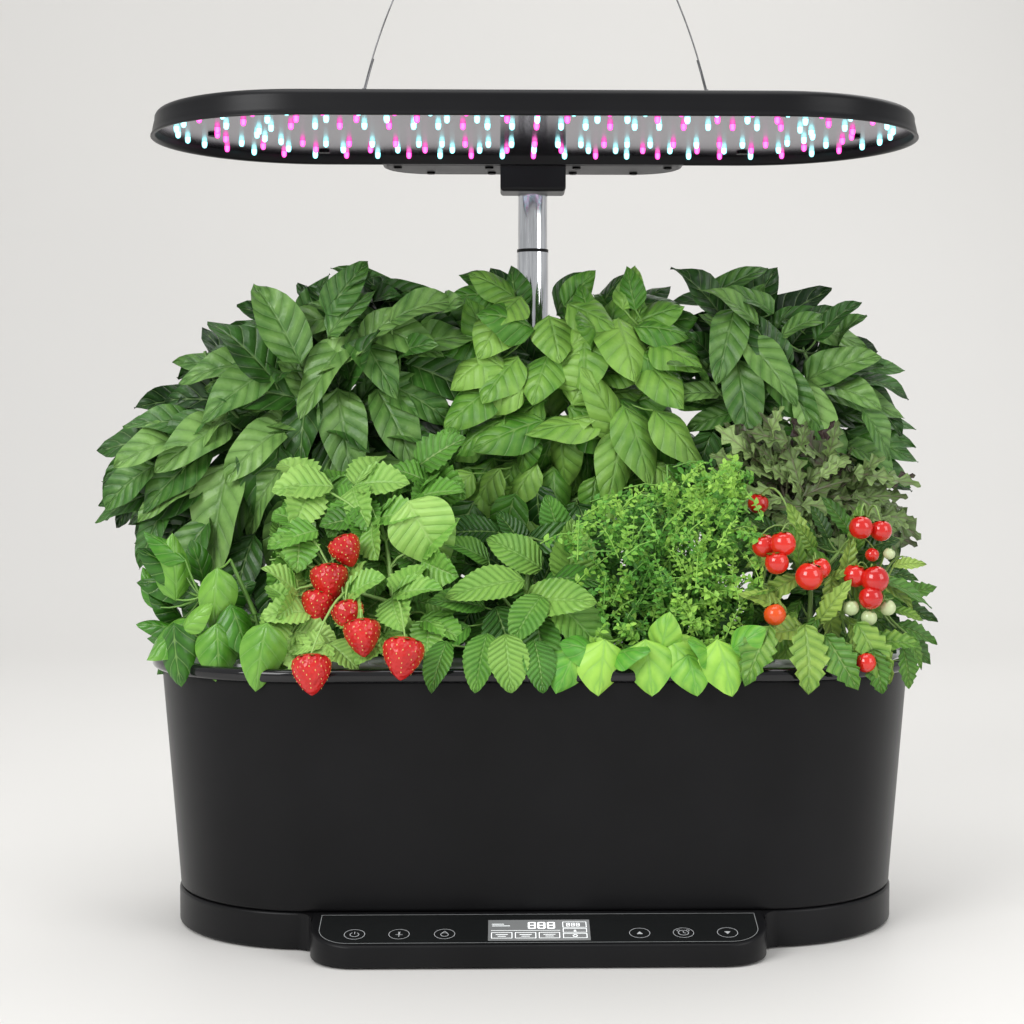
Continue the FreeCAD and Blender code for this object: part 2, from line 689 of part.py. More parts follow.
# Rim band: a rounded ring that hides the joint between tank and deck.
rim = body("rim_band")
sk = sketch(rim, "rim_outline", z="tank_top + soft_gap")
stadium(sk, "rim_half", "rim_radius")
pad(rim, sk, "rim_block", "rim_height")
doc.recompute()
rim_top = size("tank_top") + soft + size("rim_height")
names = edges_of(rim.Tip.Shape, lambda e: abs(e.BoundBox.Center.z - rim_top) < 0.5 or abs(e.BoundBox.Center.z - rim_top + size("rim_height")) < 0.5)
bevel_edges(rim, rim.Tip, "rim_round", names, "rim_height / 4")
sk = sketch(rim, "rim_mouth", z="tank_top + soft_gap + rim_ledge_thick")
stadium(sk, "rim_half", "rim_radius - rim_width")
pocket(rim, sk, "rim_seat", "rim_height", reverse=True)
sk = sketch(rim, "rim_through", z="tank_top + soft_gap - 1")
stadium(sk, "rim_half", "rim_radius - rim_width - rim_ledge")
pocket(rim, sk, "rim_opening", "rim_height + 2", reverse=True)
doc.recompute()

# Planting deck: a plate on the rim's ledge with fifteen pod holes, a water
# port and stiffening ribs underneath.
deck = body("grow_deck")
sk = sketch(deck, "deck_outline", z="tank_top + soft_gap + rim_ledge_thick + seat_gap")
stadium(sk, "rim_half", "rim_radius - rim_width - deck_fit")
pad(deck, sk, "deck_plate", "deck_thick")
sk = sketch(deck, "deck_ribs", z="tank_top + soft_gap + rim_ledge_thick + seat_gap + 0.5")
rectangle(sk, "-2.4 * pod_pitch_x", "1.6 * pod_pitch_x", "pod_pitch_y / 2 - deck_rib_thick / 2", "pod_pitch_y / 2 + deck_rib_thick / 2", (-180, 120, 28, 30))
rectangle(sk, "-2.4 * pod_pitch_x", "2.4 * pod_pitch_x", "-pod_pitch_y / 2 - deck_rib_thick / 2", "-pod_pitch_y / 2 + deck_rib_thick / 2", (-180, 180, -30, -28))
pad(deck, sk, "deck_stiffeners", "deck_rib", reverse=True)
columns = (-2, -1, 0, 1, 2)
rows = (-1, 0, 1)
sk = sketch(deck, "pod_holes", z="tank_top + soft_gap + rim_ledge_thick - deck_rib - 1")
for i in columns:
    for j in rows:
        circle(sk, "%d * pod_pitch_x" % i, "%d * pod_pitch_y" % j, "pod_hole", (75.0 * i, 58.0 * j, 16.0))
circle(sk, "port_x", "0", "port_radius", (188.0, 0.0, 10.0))
pocket(deck, sk, "deck_holes", "deck_thick + deck_rib + 4", reverse=True)
doc.recompute()

deck_top = deck_under + size("deck_thick")
pods = [(size("pod_pitch_x") * i, size("pod_pitch_y") * j, deck_top + gap) for i in columns for j in rows]
hole = size("pod_hole") - size("basket_fit")
depth = size("basket_depth")
thin = size("basket_wall")
flange_z = size("basket_flange_thick")
sides = 12
outside = facet_loft([(size("basket_foot"), -depth), (hole, 0)], sides)
outside = outside.fuse(facet_loft([(size("basket_flange"), 0), (size("basket_flange"), flange_z)], sides))
inside = facet_loft([(size("basket_foot") - thin, thin - depth), (hole - thin, 0.01), (hole - thin, flange_z + 1)], sides)
basket = outside.cut(inside)
window_cut = Part.makeBox(2 * hole, size("basket_foot"), depth / 3, Vector(-hole, -size("basket_foot") / 2, -depth * 0.8))
basket = basket.cut(window_cut)
group("grow_baskets", basket, pods)
sponge_z = flange_z - size("collar_thick") - size("sponge_height")
sponge_top = flange_z - size("collar_thick") - 2 * gap
sponge = facet_loft([(size("sponge_radius") - 1.5, sponge_z), (size("sponge_radius"), sponge_top)], 8)
group("growth_sponges", sponge, pods)
ring = facet_loft([(hole - thin - soft, 0), (hole - thin - soft, size("collar_thick"))], sides)
ring = ring.cut(facet_loft([(size("collar_hole"), -1), (size("collar_hole"), size("collar_thick") + 1)], 8))
group("pod_collars", ring, [(x, y, z + flange_z - size("collar_thick") + gap) for x, y, z in pods])
plug_top = deck_top + gap + flange_z + gap

# Display and boards lie under the console glass, parallel to it.
dw, dd, dt = size("display_width"), size("display_depth"), size("display_thick")
glass_mid = size("glass_depth") * 0.6 - 3
plate = Part.makeBox(dw, dd, dt, Vector(-dw / 2, -dd / 2, -dt))
feature("display_module", on_slope(plate, 0, glass_mid, size("glass_thick") + gap))
bt = size("board_thick")
hollow_half = size("console_width") / 2 - size("console_corner") / 2 - 2
room_top = foot_z + 6.0
touch_half, touch_front = hollow_half * 0.9, -size("touch_board_front")
board = Part.makeBox(2 * touch_half, size("touch_board_depth"), bt, Vector(-touch_half, touch_front, room_top - bt - gap))
feature("touch_board", board)
mw, md, mf = size("main_board_width"), size("main_board_depth"), size("main_board_front")
main_z = size("base_top") - size("base_wall") - size("main_board_drop")
chip_top = size("main_board_drop") - bt
main = Part.makeBox(mw, md, bt, Vector(-mw / 2, mf, main_z))
for across, along, w, d, tall in ((-0.31, 0.2, 14, 14, 0.65), (0.11, 0.17, 10, 18, 0.65), (-0.28, 0.63, 18, 10, 0.9), (0.26, 0.7, 12, 10, 0.9)):
    chip = Part.makeBox(w, d, tall * chip_top, Vector(across * mw - w / 2, mf + along * md - d / 2, main_z + bt))
    main = main.fuse(chip)
for sx, sy in corners:
    spot = Vector(sx * (mw / 2 - 5), mf + md / 2 + sy * (md / 2 - 5), foot_z)
    main = main.cut(Part.makeCylinder(size("board_hole"), size("base_top"), spot))
feature("main_board", main.removeSplitter())

# Power inlet in the rear wall, open to the back.
inlet_z = foot_z + size("cover_thick") + 7.0
inlet_depth = size("rear_end") - size("mast_y") - mast_r - wall - 0.6
inlet = Part.makeCylinder(5.5, inlet_depth, Vector(0, size("rear_end") - inlet_depth, inlet_z), Vector(0, 1, 0))
inlet = inlet.cut(Part.makeCylinder(3.6, inlet_depth, Vector(0, size("rear_end") - inlet_depth + 1.0, inlet_z), Vector(0, 1, 0)))
inlet = inlet.fuse(Part.makeCylinder(1.0, inlet_depth - 1.0, Vector(0, size("rear_end") - inlet_depth + 0.5, inlet_z), Vector(0, 1, 0)))
feature("power_inlet", inlet.removeSplitter())

# Lamp housing: a shallow stadium dish facing down, with a sharp lip, a
# rounded roof edge and the box of the rear arm joined to it.
lamp = body("lamp_housing")
sk = sketch(lamp, "lip_outline", z="lamp_bottom")
stadium(sk, "lamp_half", "lamp_radius")
pad(lamp, sk, "lamp_lip_ring", "lamp_lip")
sk = sketch(lamp, "skirt_outline", z="lamp_bottom + lamp_lip")
stadium(sk, "lamp_half", "lamp_radius - lamp_lip_step")
pad(lamp, sk, "lamp_skirt", "lamp_height - lamp_lip")
sk = sketch(lamp, "arm_outline", z="lamp_bottom")
rectangle(sk, "-arm_width / 2", "arm_width / 2", "lamp_radius / 2", "arm_end", (-94, 94, 40, 135))
pad(lamp, sk, "arm_block", "lamp_height")
doc.recompute()
names = edges_of(lamp.Tip.Shape, lambda e: e.BoundBox.ZLength > 10 and upright(e, size("arm_width") / 2, size("arm_end")))
fillet(lamp, lamp.Tip, "arm_corners", names, "arm_corner")
doc.recompute()
roof_z = size("lamp_bottom") + size("lamp_height")
names = edges_of(lamp.Tip.Shape, lambda e: e.BoundBox.ZMin > roof_z - 0.05)
bevel_edges(lamp, lamp.Tip, "roof_round", names, "lamp_edge")
doc.recompute()
sk = sketch(lamp, "rim_room", z="lamp_bottom")
stadium(sk, "lamp_half", "lamp_radius - lamp_wall")
pocket(lamp, sk, "panel_room", "panel_recess + panel_thick + seat_gap", reverse=True)
sk = sketch(lamp, "inner_room", z="lamp_bottom")
stadium(sk, "lamp_half", "lamp_radius - lamp_wall - lamp_ledge")
pocket(lamp, sk, "lamp_cavity", "lamp_height - lamp_roof", reverse=True)
sk = sketch(lamp, "arm_room", z="lamp_bottom")
arm_x = "arm_width / 2 - arm_corner / 3"
rectangle(sk, "-(%s)" % arm_x, arm_x, "lamp_radius + arm_wall / 2", "arm_end - arm_corner / 3", (-84, 84, 93.2, 125))
pocket(lamp, sk, "arm_cavity", "lamp_height - lamp_roof", reverse=True)
sk = sketch(lamp, "cover_seat", z="lamp_bottom")
arched(
    sk,
    "-arm_width / 2 + arm_wall",
    "arm_width / 2 - arm_wall",
    "lamp_radius + arm_wall / 2",
    "arm_end - arm_wall",
    "arm_corner - arm_wall",
    (-91.5, 91.5, 93.2, 132.5),
    27.5,
)
pocket(lamp, sk, "arm_cover_seat", "arm_cover_thick + seat_gap", reverse=True)
doc.recompute()

# Bosses in the lamp and the arm for the screws.
PANEL_SCREWS = [(-186.0, 6.0), (-134.0, -70.0), (-128.0, 68.0), (186.0, 6.0), (134.0, -70.0), (128.0, 68.0)]
ARM_SCREWS = [(-85.0, 100.0), (-27.5, 100.0), (27.5, 100.0), (85.0, 100.0), (-65.0, 124.0), (-26.0, 124.0), (26.0, 124.0), (65.0, 124.0)]


def bored_boss(sk_name, spots, radius, low, high, hole_radius):
    sk = sketch(lamp, sk_name, z="lamp_bottom + " + low)
    for x, y in spots:
        circle(sk, str(x), str(y), radius, (x, y, 3.0))
    pad(lamp, sk, sk_name + "_posts", high)
    sk = sketch(lamp, sk_name + "_bore", z="lamp_bottom + " + low)
    for x, y in spots:
        circle(sk, str(x), str(y), hole_radius, (x, y, 1.0))
    pocket(lamp, sk, sk_name + "_bores", high + " - 1", reverse=True)


under_panel = "panel_recess + panel_thick"
bored_boss("panel_posts", PANEL_SCREWS, "4", under_panel + " + seat_gap", "lamp_height - lamp_roof - (%s)" % under_panel, "1.5")
bored_boss("arm_posts", ARM_SCREWS, "3.4", "arm_cover_thick + seat_gap", "lamp_height - lamp_roof - arm_cover_thick", "1.5")
doc.recompute()

# Polished lamp panel with its screws, sunk in the skirt.
panel = body("led_panel")
sk = sketch(panel, "panel_outline", z="lamp_bottom + panel_recess")
stadium(sk, "lamp_half", "lamp_radius - lamp_wall - panel_fit")
pad(panel, sk, "panel_plate", "panel_thick")
sk = sketch(panel, "panel_holes", z="lamp_bottom + panel_recess")
for x, y in PANEL_SCREWS:
    circle(sk, str(x), str(y), "1.7", (x, y, 1.7))
pocket(panel, sk, "panel_bores", "panel_thick", reverse=True)
doc.recompute()

panel_z = size("lamp_bottom") + size("panel_recess")
sr, sh = size("panel_screw_radius"), size("panel_screw_height")
screw = small_screw(1.4, 5.6, sr, sh)
group("panel_screws", screw, [(x, y, panel_z) for x, y in PANEL_SCREWS])

# Light emitters: three stadium loops of fifty-two, in two colours.
LOOPS = [
    (size("led_inner_radius"), "mwwmwwmwmwmwww"),
    (size("led_middle_radius"), "wmwwmwmwmwmwmm"),
    (size("led_outer_radius"), "mwmwmwmwmwmwww"),
]


def loop_spot(half, radius, share):
    quarter = half + radius * math.pi / 2
    along = share * quarter
    if along <= half:
        return along, radius
    turn = (along - half) / radius
    return half + radius * math.sin(turn), radius * math.cos(turn)


white_spots = []
red_spots = []
for radius, tones in LOOPS:
    for k, tone in enumerate(tones):
        x, y = loop_spot(size("lamp_half"), radius, k / 13.0)
        spots = {(round(sx * x, 4), round(sy * y, 4)) for sx, sy in corners}
        (white_spots if tone == "w" else red_spots).extend(sorted(spots))
emitter = Part.makeBox(size("led_size"), size("led_size"), size("led_height"), Vector(-size("led_size") / 2, -size("led_size") / 2, -size("led_height")))
group("white_leds", emitter, [(x, y, panel_z) for x, y in white_spots])
group("red_leds", emitter, [(x, y, panel_z) for x, y in red_spots])

# Cover under the arm, its screws, and the block that takes the mast.
cover = body("arm_cover")
sk = sketch(cover, "arm_cover_outline", z="lamp_bottom")
arched(
    sk,
    "-arm_width / 2 + arm_wall + panel_fit",
    "arm_width / 2 - arm_wall - panel_fit",
    "lamp_radius + arm_wall / 2 + panel_fit",
    "arm_end - arm_wall - panel_fit",
    "arm_corner - arm_wall - panel_fit",
    (-91.2, 91.2, 93.5, 132.2),
    27.2,
)
pad(cover, sk, "arm_cover_plate", "arm_cover_thick")
doc.recompute()
sk = sketch(cover, "arm_cover_holes", z="lamp_bottom")
for x, y in ARM_SCREWS:
    circle(sk, str(x), str(y), "1.7", (x, y, 1.7))
circle(sk, "0", "mast_y", "mast_radius + seat_gap", (0.0, 110.0, 10.0))
pocket(cover, sk, "arm_cover_bores", "arm_cover_thick", reverse=True)
doc.recompute()
screw = small_screw(1.4, 7.0, 2.7, 1.2)
group("arm_screws", screw, [(x, y, size("lamp_bottom")) for x, y in ARM_SCREWS])

hw, hd, hh = size("head_width"), size("head_depth"), size("head_height")
block = Part.makeBox(hw, hd, hh, Vector(-hw / 2, -hd * 0.65, -hh - gap))
block = block.makeFillet(size("head_edge"), [e for e in block.Edges if e.BoundBox.ZMax < -gap - 0.1])
upper_r = mast_r - 2 * size("mast_wall") - 2 * size("slide_fit")
block = block.cut(Part.makeCylinder(upper_r + gap, hh + 2, Vector(0, 0, -hh - 1)))
head = feature("mast_head", block)
bind(head, "Placement.Base.y", "mast_y")
bind(head, "Placement.Base.z", "lamp_bottom")

# Small eyes on the lamp's roof for the two hanging wires.
ht, hgw, hgh = size("hanger_thick"), size("hanger_width"), size("hanger_height")
eye = Part.makeBox(hgw, ht, hgh - hgw / 2, Vector(-hgw / 2, -ht / 2, 0))
eye = eye.fuse(Part.makeCylinder(hgw / 2, ht, Vector(0, -ht / 2, hgh - hgw / 2), Vector(0, 1, 0)))
eye = eye.cut(Part.makeCylinder(size("hanger_hole"), ht + 2, Vector(0, -ht / 2 - 1, hgh - hgw / 2), Vector(0, 1, 0)))
group("hanger_eyes", eye.removeSplitter(), [(sx * size("hanger_x"), 0, roof_z + gap) for sx in (-1, 1)])


# Thin wire along straight runs joined by tangent arcs.
def wire_path(points):
    edges = []
    start = points[0]
    for i in range(1, len(points) - 1):
        a, b, c = points[i - 1], points[i], points[i + 1]
        u, v = (a - b), (c - b)
        shorter = min(u.Length, v.Length)
        u.normalize()
        v.normalize()
        turn = math.pi - u.getAngle(v)
        cut = 0.45 * shorter
        radius = cut / math.tan(turn / 2)
        print("wire radius", round(radius, 1))
        p, q = b + u * cut, b + v * cut
        centre_dir = u + v
        centre_dir.normalize()
        mid = b + centre_dir * (radius / math.cos(turn / 2) - radius)
        edges.append(Part.LineSegment(start, p).toShape())
        edges.append(Part.Arc(p, mid, q).toShape())
        start = q
    edges.append(Part.LineSegment(start, points[-1]).toShape())
    return Part.Wire(edges)


WIRE_ROUTE = [(-100.5, 471.5), (-96.4, 487.0), (-91.0, 505.0), (-84.0, 524.0), (-74.6, 546.0)]


def hanging_wire(label, side):
    points = [Vector(side * x, 0, z) for x, z in WIRE_ROUTE]
    path = wire_path(points)
    radius = size("wire_radius")
    ring = Part.makePolygon(facet_ring(radius, 0, 8) + facet_ring(radius, 0, 8)[:1])
    ring.Placement = Placement(points[0], Rotation(Vector(0, 0, 1), points[1] - points[0]))
    shape = path.makePipeShell([ring], True, False)
    section = 2 * math.sqrt(2) * radius ** 2
    print(label, "volume", round(shape.Volume, 2), "section times length", round(section * path.Length, 2))
    return feature(label, shape)


hanging_wire("hanging_wire_left", 1)
hanging_wire("hanging_wire_right", -1)

# Loops at the wires' ends: the lower ones go through the eyes, and a pressed
# sleeve closes each of them.
wire_r = size("wire_radius")
loop_r = (WIRE_ROUTE[0][1] - (roof_z + gap + hgh - hgw / 2)) / 2 - wire_r / 2
loops = []


# Closed loop of wire standing on edge, across X or along it.
def flat_ring(radius, steps, across):
    rings = []
    for i in range(steps):
        turn = 2 * math.pi * i / steps
        ring = []
        for k in range(6):
            angle = math.pi * k / 3
            far = radius + wire_r * math.cos(angle)
            flat, side_way, up = wire_r * math.sin(angle), far * math.cos(turn), far * math.sin(turn)
            ring.append(Vector(flat, side_way, up) if across else Vector(side_way, flat, up))
        rings.append(ring)
    return faceted(rings, True)


for side in (1, -1):
    low = flat_ring(loop_r, 14, True)
    low.translate(Vector(side * WIRE_ROUTE[0][0], 0, WIRE_ROUTE[0][1] - wire_r - loop_r - 0.05))
    high = flat_ring(4.0, 16, False)
    high.translate(Vector(side * (WIRE_ROUTE[-1][0] + 1.8), 0, WIRE_ROUTE[-1][1] + 4.0 + wire_r + 0.05))
    loops += [low, high]
feature("wire_loops", Part.makeCompound(loops))
sleeves = []
for side in (1, -1):
    a = Vector(side * WIRE_ROUTE[0][0], 0, WIRE_ROUTE[0][1])
    b = Vector(side * WIRE_ROUTE[1][0], 0, WIRE_ROUTE[1][1])
    way = (b - a).normalize()
    sleeve = facet_loft([(1.1, 2.0), (1.1, 7.0)], 10).cut(facet_loft([(wire_r + gap, 1.0), (wire_r + gap, 8.0)], 8))
    sleeve.Placement = Placement(a, Rotation(Vector(0, 0, 1), way))
    sleeves.append(sleeve)
feature("wire_sleeves", Part.makeCompound(sleeves))

# Plants: one closed solid for the space that each kind fills, as stacked
# eight-sided sections: height, then its limits in X and in Y.
PLANTS = {
    "basil_rear_left": [
        (0, -165, -135, 44, 72),
        (45, -205, -70, 26, 88),
        (78, -246, -56, 22, 90),
        (118, -253, -52, 22, 90),
        (190, -240, -52, 24, 90),
        (218, -170, -66, 36, 82),
        (226, -120, -82, 46, 70),
    ],
    "basil_rear_centre": [
        (0, -14, 14, 46, 72),
        (50, -40, 60, 26, 86),
        (110, -50, 88, 22, 88),
        (190, -50, 86, 22, 88),
        (216, -28, 64, 36, 78),
        (224, -10, 40, 46, 68),
    ],
    "basil_rear_right": [
        (0, 136, 164, 46, 72),
        (60, 108, 190, 26, 86),
        (100, 92, 218, 22, 90),
        (150, 90, 228, 22, 90),
        (195, 92, 200, 26, 88),
        (218, 100, 160, 38, 78),
        (226, 112, 140, 48, 68),
    ],
    "basil_front_left": [
        (0, -165, -141, -72, -46),
        (12, -206, -138, -88, -20),
        (40, -216, -138, -90, 12),
        (58, -208, -138, -82, 16),
        (74, -186, -144, -66, 6),
    ],
    "strawberry": [
        (0, -92, -66, -72, -46),
        (14, -132, -54, -92, -20),
        (50, -137, -52, -96, 14),
        (86, -137, -52, -88, 17),
        (104, -118, -58, -64, 12),
    ],
    "mint": [
        (0, -14, 9, -72, -46),
        (12, -46, 9, -94, -20),
        (44, -51, 10, -96, 14),
        (66, -50, 10, -84, 16),
        (82, -30, 6, -56, 8),
    ],
    "parsley": [
        (0, 64, 88, -72, -46),
        (12, 26, 96, -92, -20),
        (50, 12, 104, -94, 14),
        (90, 12, 106, -84, 18),
        (118, 20, 92, -60, 18),
        (128, 36, 76, -36, 12),
    ],
    "purple_herb": [
        (0, 138, 162, -8, 14),
        (62, 112, 206, -10, 18),
        (96, 109, 222, -11, 20),
        (126, 116, 212, -9, 20),
        (136, 134, 190, -6, 16),
    ],
    "tomato": [
        (0, 138, 162, -72, -46),
        (12, 110, 200, -92, -22),
        (52, 108, 214, -94, -13),
        (84, 109, 210, -84, -13),
        (92, 124, 194, -66, -18),
    ],
}


def octagon(z, x0, x1, y0, y1):
    cx, cy = 0.29 * (x1 - x0), 0.29 * (y1 - y0)
    points = [(x0 + cx, y0), (x1 - cx, y0), (x1, y0 + cy), (x1, y1 - cy), (x1 - cx, y1), (x0 + cx, y1), (x0, y1 - cy), (x0, y0 + cy)]
    return [Vector(x, y, z) for x, y in points]


for label, sections in PLANTS.items():
    plant = feature(label, faceted([octagon(*section) for section in sections]))
    bind(plant, "Placement.Base.z", "tank_top + 2 * soft_gap + rim_ledge_thick + deck_thick + 3 * seat_gap + basket_flange_thick")
doc.recompute()

NODES = [
    "base_housing", "base_cover", "base_screws", "rubber_feet", "control_glass", "display_module",
    "touch_board", "main_board", "power_inlet", "mast_socket", "mast_lower", "lower_bushing",
    "mast_middle", "middle_bushing", "mast_upper", "mast_head", "lamp_housing", "led_panel",
    "panel_screws", "white_leds", "red_leds", "arm_cover", "arm_screws", "hanger_eyes",
    "hanging_wire_left", "hanging_wire_right", "wire_loops", "wire_sleeves", "tank_shell",
    "pump_body", "pump_filter", "suction_cups", "pump_riser", "grow_deck", "rim_band",
    "grow_baskets", "growth_sponges", "pod_collars",
] + sorted(PLANTS)

for item in doc.Objects:
    if "Invalid" in item.State or "Error" in item.State:
        raise RuntimeError("%s failed: %s" % (item.Label, item.State))
for node in NODES:
    shape = doc.getObjectsByLabel(node)[0].Shape
    if shape.isNull() or not shape.isValid() or not shape.Solids:
        raise RuntimeError("no valid shape for " + node)
for node in NODES:
    shape = doc.getObjectsByLabel(node)[0].Shape
    box = shape.BoundBox
    print(node, len(shape.Solids), round(shape.Volume), [round(v, 1) for v in (box.XMin, box.YMin, box.ZMin, box.XMax, box.YMax, box.ZMax)])
    shape.exportStep("parts/%s.step" % node)
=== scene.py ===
import math
import random
import bpy
from mathutils import Matrix, Vector


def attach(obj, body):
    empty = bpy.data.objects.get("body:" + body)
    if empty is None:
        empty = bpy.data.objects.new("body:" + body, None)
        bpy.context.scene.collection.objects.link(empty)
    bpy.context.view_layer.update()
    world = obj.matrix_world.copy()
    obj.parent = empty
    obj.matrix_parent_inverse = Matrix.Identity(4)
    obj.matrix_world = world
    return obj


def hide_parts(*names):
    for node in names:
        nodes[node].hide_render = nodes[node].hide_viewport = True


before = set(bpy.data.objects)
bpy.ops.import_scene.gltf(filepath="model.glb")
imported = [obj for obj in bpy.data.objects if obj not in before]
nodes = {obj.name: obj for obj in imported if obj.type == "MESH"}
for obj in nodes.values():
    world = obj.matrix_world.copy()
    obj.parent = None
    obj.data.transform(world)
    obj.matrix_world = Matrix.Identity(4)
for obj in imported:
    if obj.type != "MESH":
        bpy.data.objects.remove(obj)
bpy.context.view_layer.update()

scene = bpy.context.scene
MM = 0.001

# Camera
# A level eye a metre in front of the garden and about half way up, turned
# slightly to the right; the picture plane is shifted a little sideways.
FOCAL_PX = 1886.2
DISTANCE = 1.0962
EYE_HEIGHT = 0.27773
YAW = math.radians(1.171)
PITCH = math.radians(2.268)
SIDE = 0.0037
SHIFT_PX = 30.0
PICTURE = 1024

look = Vector((math.sin(YAW) * math.cos(PITCH), math.cos(YAW) * math.cos(PITCH), -math.sin(PITCH)))
right = Vector((math.cos(YAW), -math.sin(YAW), 0.0))
up = right.cross(look)
eye = Vector((SIDE * math.cos(YAW) - DISTANCE * math.sin(YAW),
    -DISTANCE * math.cos(YAW) - SIDE * math.sin(YAW), EYE_HEIGHT))
camera_data = bpy.data.cameras.new("camera")
camera = bpy.data.objects.new("camera", camera_data)
scene.collection.objects.link(camera)
camera.matrix_world = Matrix(((right.x, up.x, -look.x, eye.x), (right.y, up.y, -look.y, eye.y),
    (right.z, up.z, -look.z, eye.z), (0, 0, 0, 1)))
camera_data.sensor_width = 36.0
camera_data.lens = 36.0 * FOCAL_PX / PICTURE
camera_data.shift_x = -SHIFT_PX / PICTURE
camera_data.clip_end = 20.0
scene.camera = camera


# Hanging wires
# Two thin drawn-steel wires hold the lamp from above. Each is looped through
# an eye on the lamp's roof and held by a pressed sleeve; both lean inwards.
def socket_values(shader, **values):
    for name, value in values.items():
        shader.inputs[name.replace("_", " ")].default_value = value


class Look:
    """A node material built step by step."""

    def __init__(self, name):
        self.material = bpy.data.materials.new(name)
        self.material.use_nodes = True
        self.tree = self.material.node_tree
        self.tree.nodes.clear()
        output = self.node("ShaderNodeOutputMaterial")
        self.shader = self.node("ShaderNodeBsdfPrincipled")
        self.join(self.shader.outputs["BSDF"], output.inputs["Surface"])

    def node(self, kind, **values):
        new = self.tree.nodes.new(kind)
        for key, value in values.items():
            setattr(new, key, value)
        return new

    def join(self, a, b):
        self.tree.links.new(a, b)

    def coordinates(self, stretch=(1, 1, 1)):
        source = self.node("ShaderNodeTexCoord")
        mapping = self.node("ShaderNodeMapping")
        mapping.inputs["Scale"].default_value = stretch
        self.join(source.outputs["Object"], mapping.inputs["Vector"])
        return mapping.outputs["Vector"]

    def noise(self, scale, detail=4.0, vector=None):
        texture = self.node("ShaderNodeTexNoise")
        texture.inputs["Scale"].default_value = scale
        texture.inputs["Detail"].default_value = detail
        texture.inputs["Roughness"].default_value = 0.55
        self.join(vector or self.coordinates(), texture.inputs["Vector"])
        return texture.outputs["Fac"]

    def ramp(self, factor, stops):
        ramp = self.node("ShaderNodeValToRGB")
        while len(ramp.color_ramp.elements) < len(stops):
            ramp.color_ramp.elements.new(0.5)
        for element, (place, colour) in zip(ramp.color_ramp.elements, stops):
            element.position = place
            element.color = (*colour, 1.0)
        self.join(factor, ramp.inputs["Fac"])
        return ramp.outputs["Color"]

    def span(self, factor, low, high):
        """Maps 0..1 to a range of numbers."""
        span = self.node("ShaderNodeMapRange")
        span.inputs["To Min"].default_value = low
        span.inputs["To Max"].default_value = high
        self.join(factor, span.inputs["Value"])
        return span.outputs["Result"]

    def math(self, kind, a, b=None):
        new = self.node("ShaderNodeMath", operation=kind)
        for socket, value in zip(new.inputs, (a, b)):
            if value is None:
                continue
            if isinstance(value, (int, float)):
                socket.default_value = value
            else:
                self.join(value, socket)
        return new.outputs[0]

    def bump(self, height, strength, distance=0.001):
        bump = self.node("ShaderNodeBump")
        bump.inputs["Strength"].default_value = strength
        bump.inputs["Distance"].default_value = distance
        self.join(height, bump.inputs["Height"])
        self.join(bump.outputs["Normal"], self.shader.inputs["Normal"])

    def colour(self, factor, stops):
        self.join(self.ramp(factor, stops), self.shader.inputs["Base Color"])

    def gloss(self, factor, low, high):
        self.join(self.span(factor, low, high), self.shader.inputs["Roughness"])


def polished(name, dark, light, rough):
    """Metal with faint drawing marks along Z."""
    look = Look(name)
    marks = look.noise(60.0, 6.0, look.coordinates((9, 9, 0.6)))
    look.colour(marks, [(0.35, dark), (0.65, light)])
    look.gloss(marks, *rough)
    look.bump(marks, 0.03, 0.0003)
    socket_values(look.shader, Metallic=1.0)
    return look.material


def clothe(name, material):
    """Gives a CAD node its finished material."""
    mesh = nodes[name].data
    if not mesh.materials:
        mesh.materials.append(material)
    for slot in nodes[name].material_slots:
        slot.link = "OBJECT"
        slot.material = material


WIRE_RADIUS, TAIL_RADIUS, TAIL_GAP = 0.45, 0.42, 1.1
TAIL_ROUTE = [(-98.9, 478.0), (-96.6, 487.0), (-94.2, 495.0)]
WIRE_ROUTE = [(-100.5, 471.5), (-96.4, 487.0), (-91.0, 505.0), (-84.0, 524.0), (-74.6, 546.0)]

steel = polished("wire_steel", (0.10, 0.10, 0.10), (0.26, 0.26, 0.27), rough=(0.3, 0.45))
bright_steel = polished("bright_steel", (0.35, 0.35, 0.36), (0.62, 0.62, 0.64), rough=(0.18, 0.3))


def wire_curve(name, points, radius, material):
    curve = bpy.data.curves.new(name, "CURVE")
    curve.dimensions = "3D"
    curve.bevel_depth = radius
    curve.bevel_resolution = 4
    curve.resolution_u = 12
    spline = curve.splines.new("NURBS")
    spline.points.add(len(points) - 1)
    for point, place in zip(spline.points, points):
        point.co = (*place, 1.0)
    spline.order_u = 3
    spline.use_endpoint_u = True
    curve.materials.append(material)
    piece = bpy.data.objects.new(name, curve)
    scene.collection.objects.link(piece)
    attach(piece, "lamp")
    return piece


def wire_tail(name, side):
    """Short doubled end that runs beside the wire above its sleeve."""
    points = [(side * (x + TAIL_GAP) * MM, -TAIL_GAP * MM, z * MM) for x, z in TAIL_ROUTE]
    return wire_curve(name, points, TAIL_RADIUS * MM, steel)


for side, word in ((1, "left"), (-1, "right")):
    route = [(side * x * MM, 0.0, z * MM) for x, z in WIRE_ROUTE]
    wire = wire_curve("wire_" + word, route, WIRE_RADIUS * MM, steel)
    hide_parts("hanging_wire_" + word)
    tail = wire_tail("wire_tail_" + word, side)
clothe("wire_loops", steel)
clothe("wire_sleeves", bright_steel)
clothe("hanger_eyes", bright_steel)

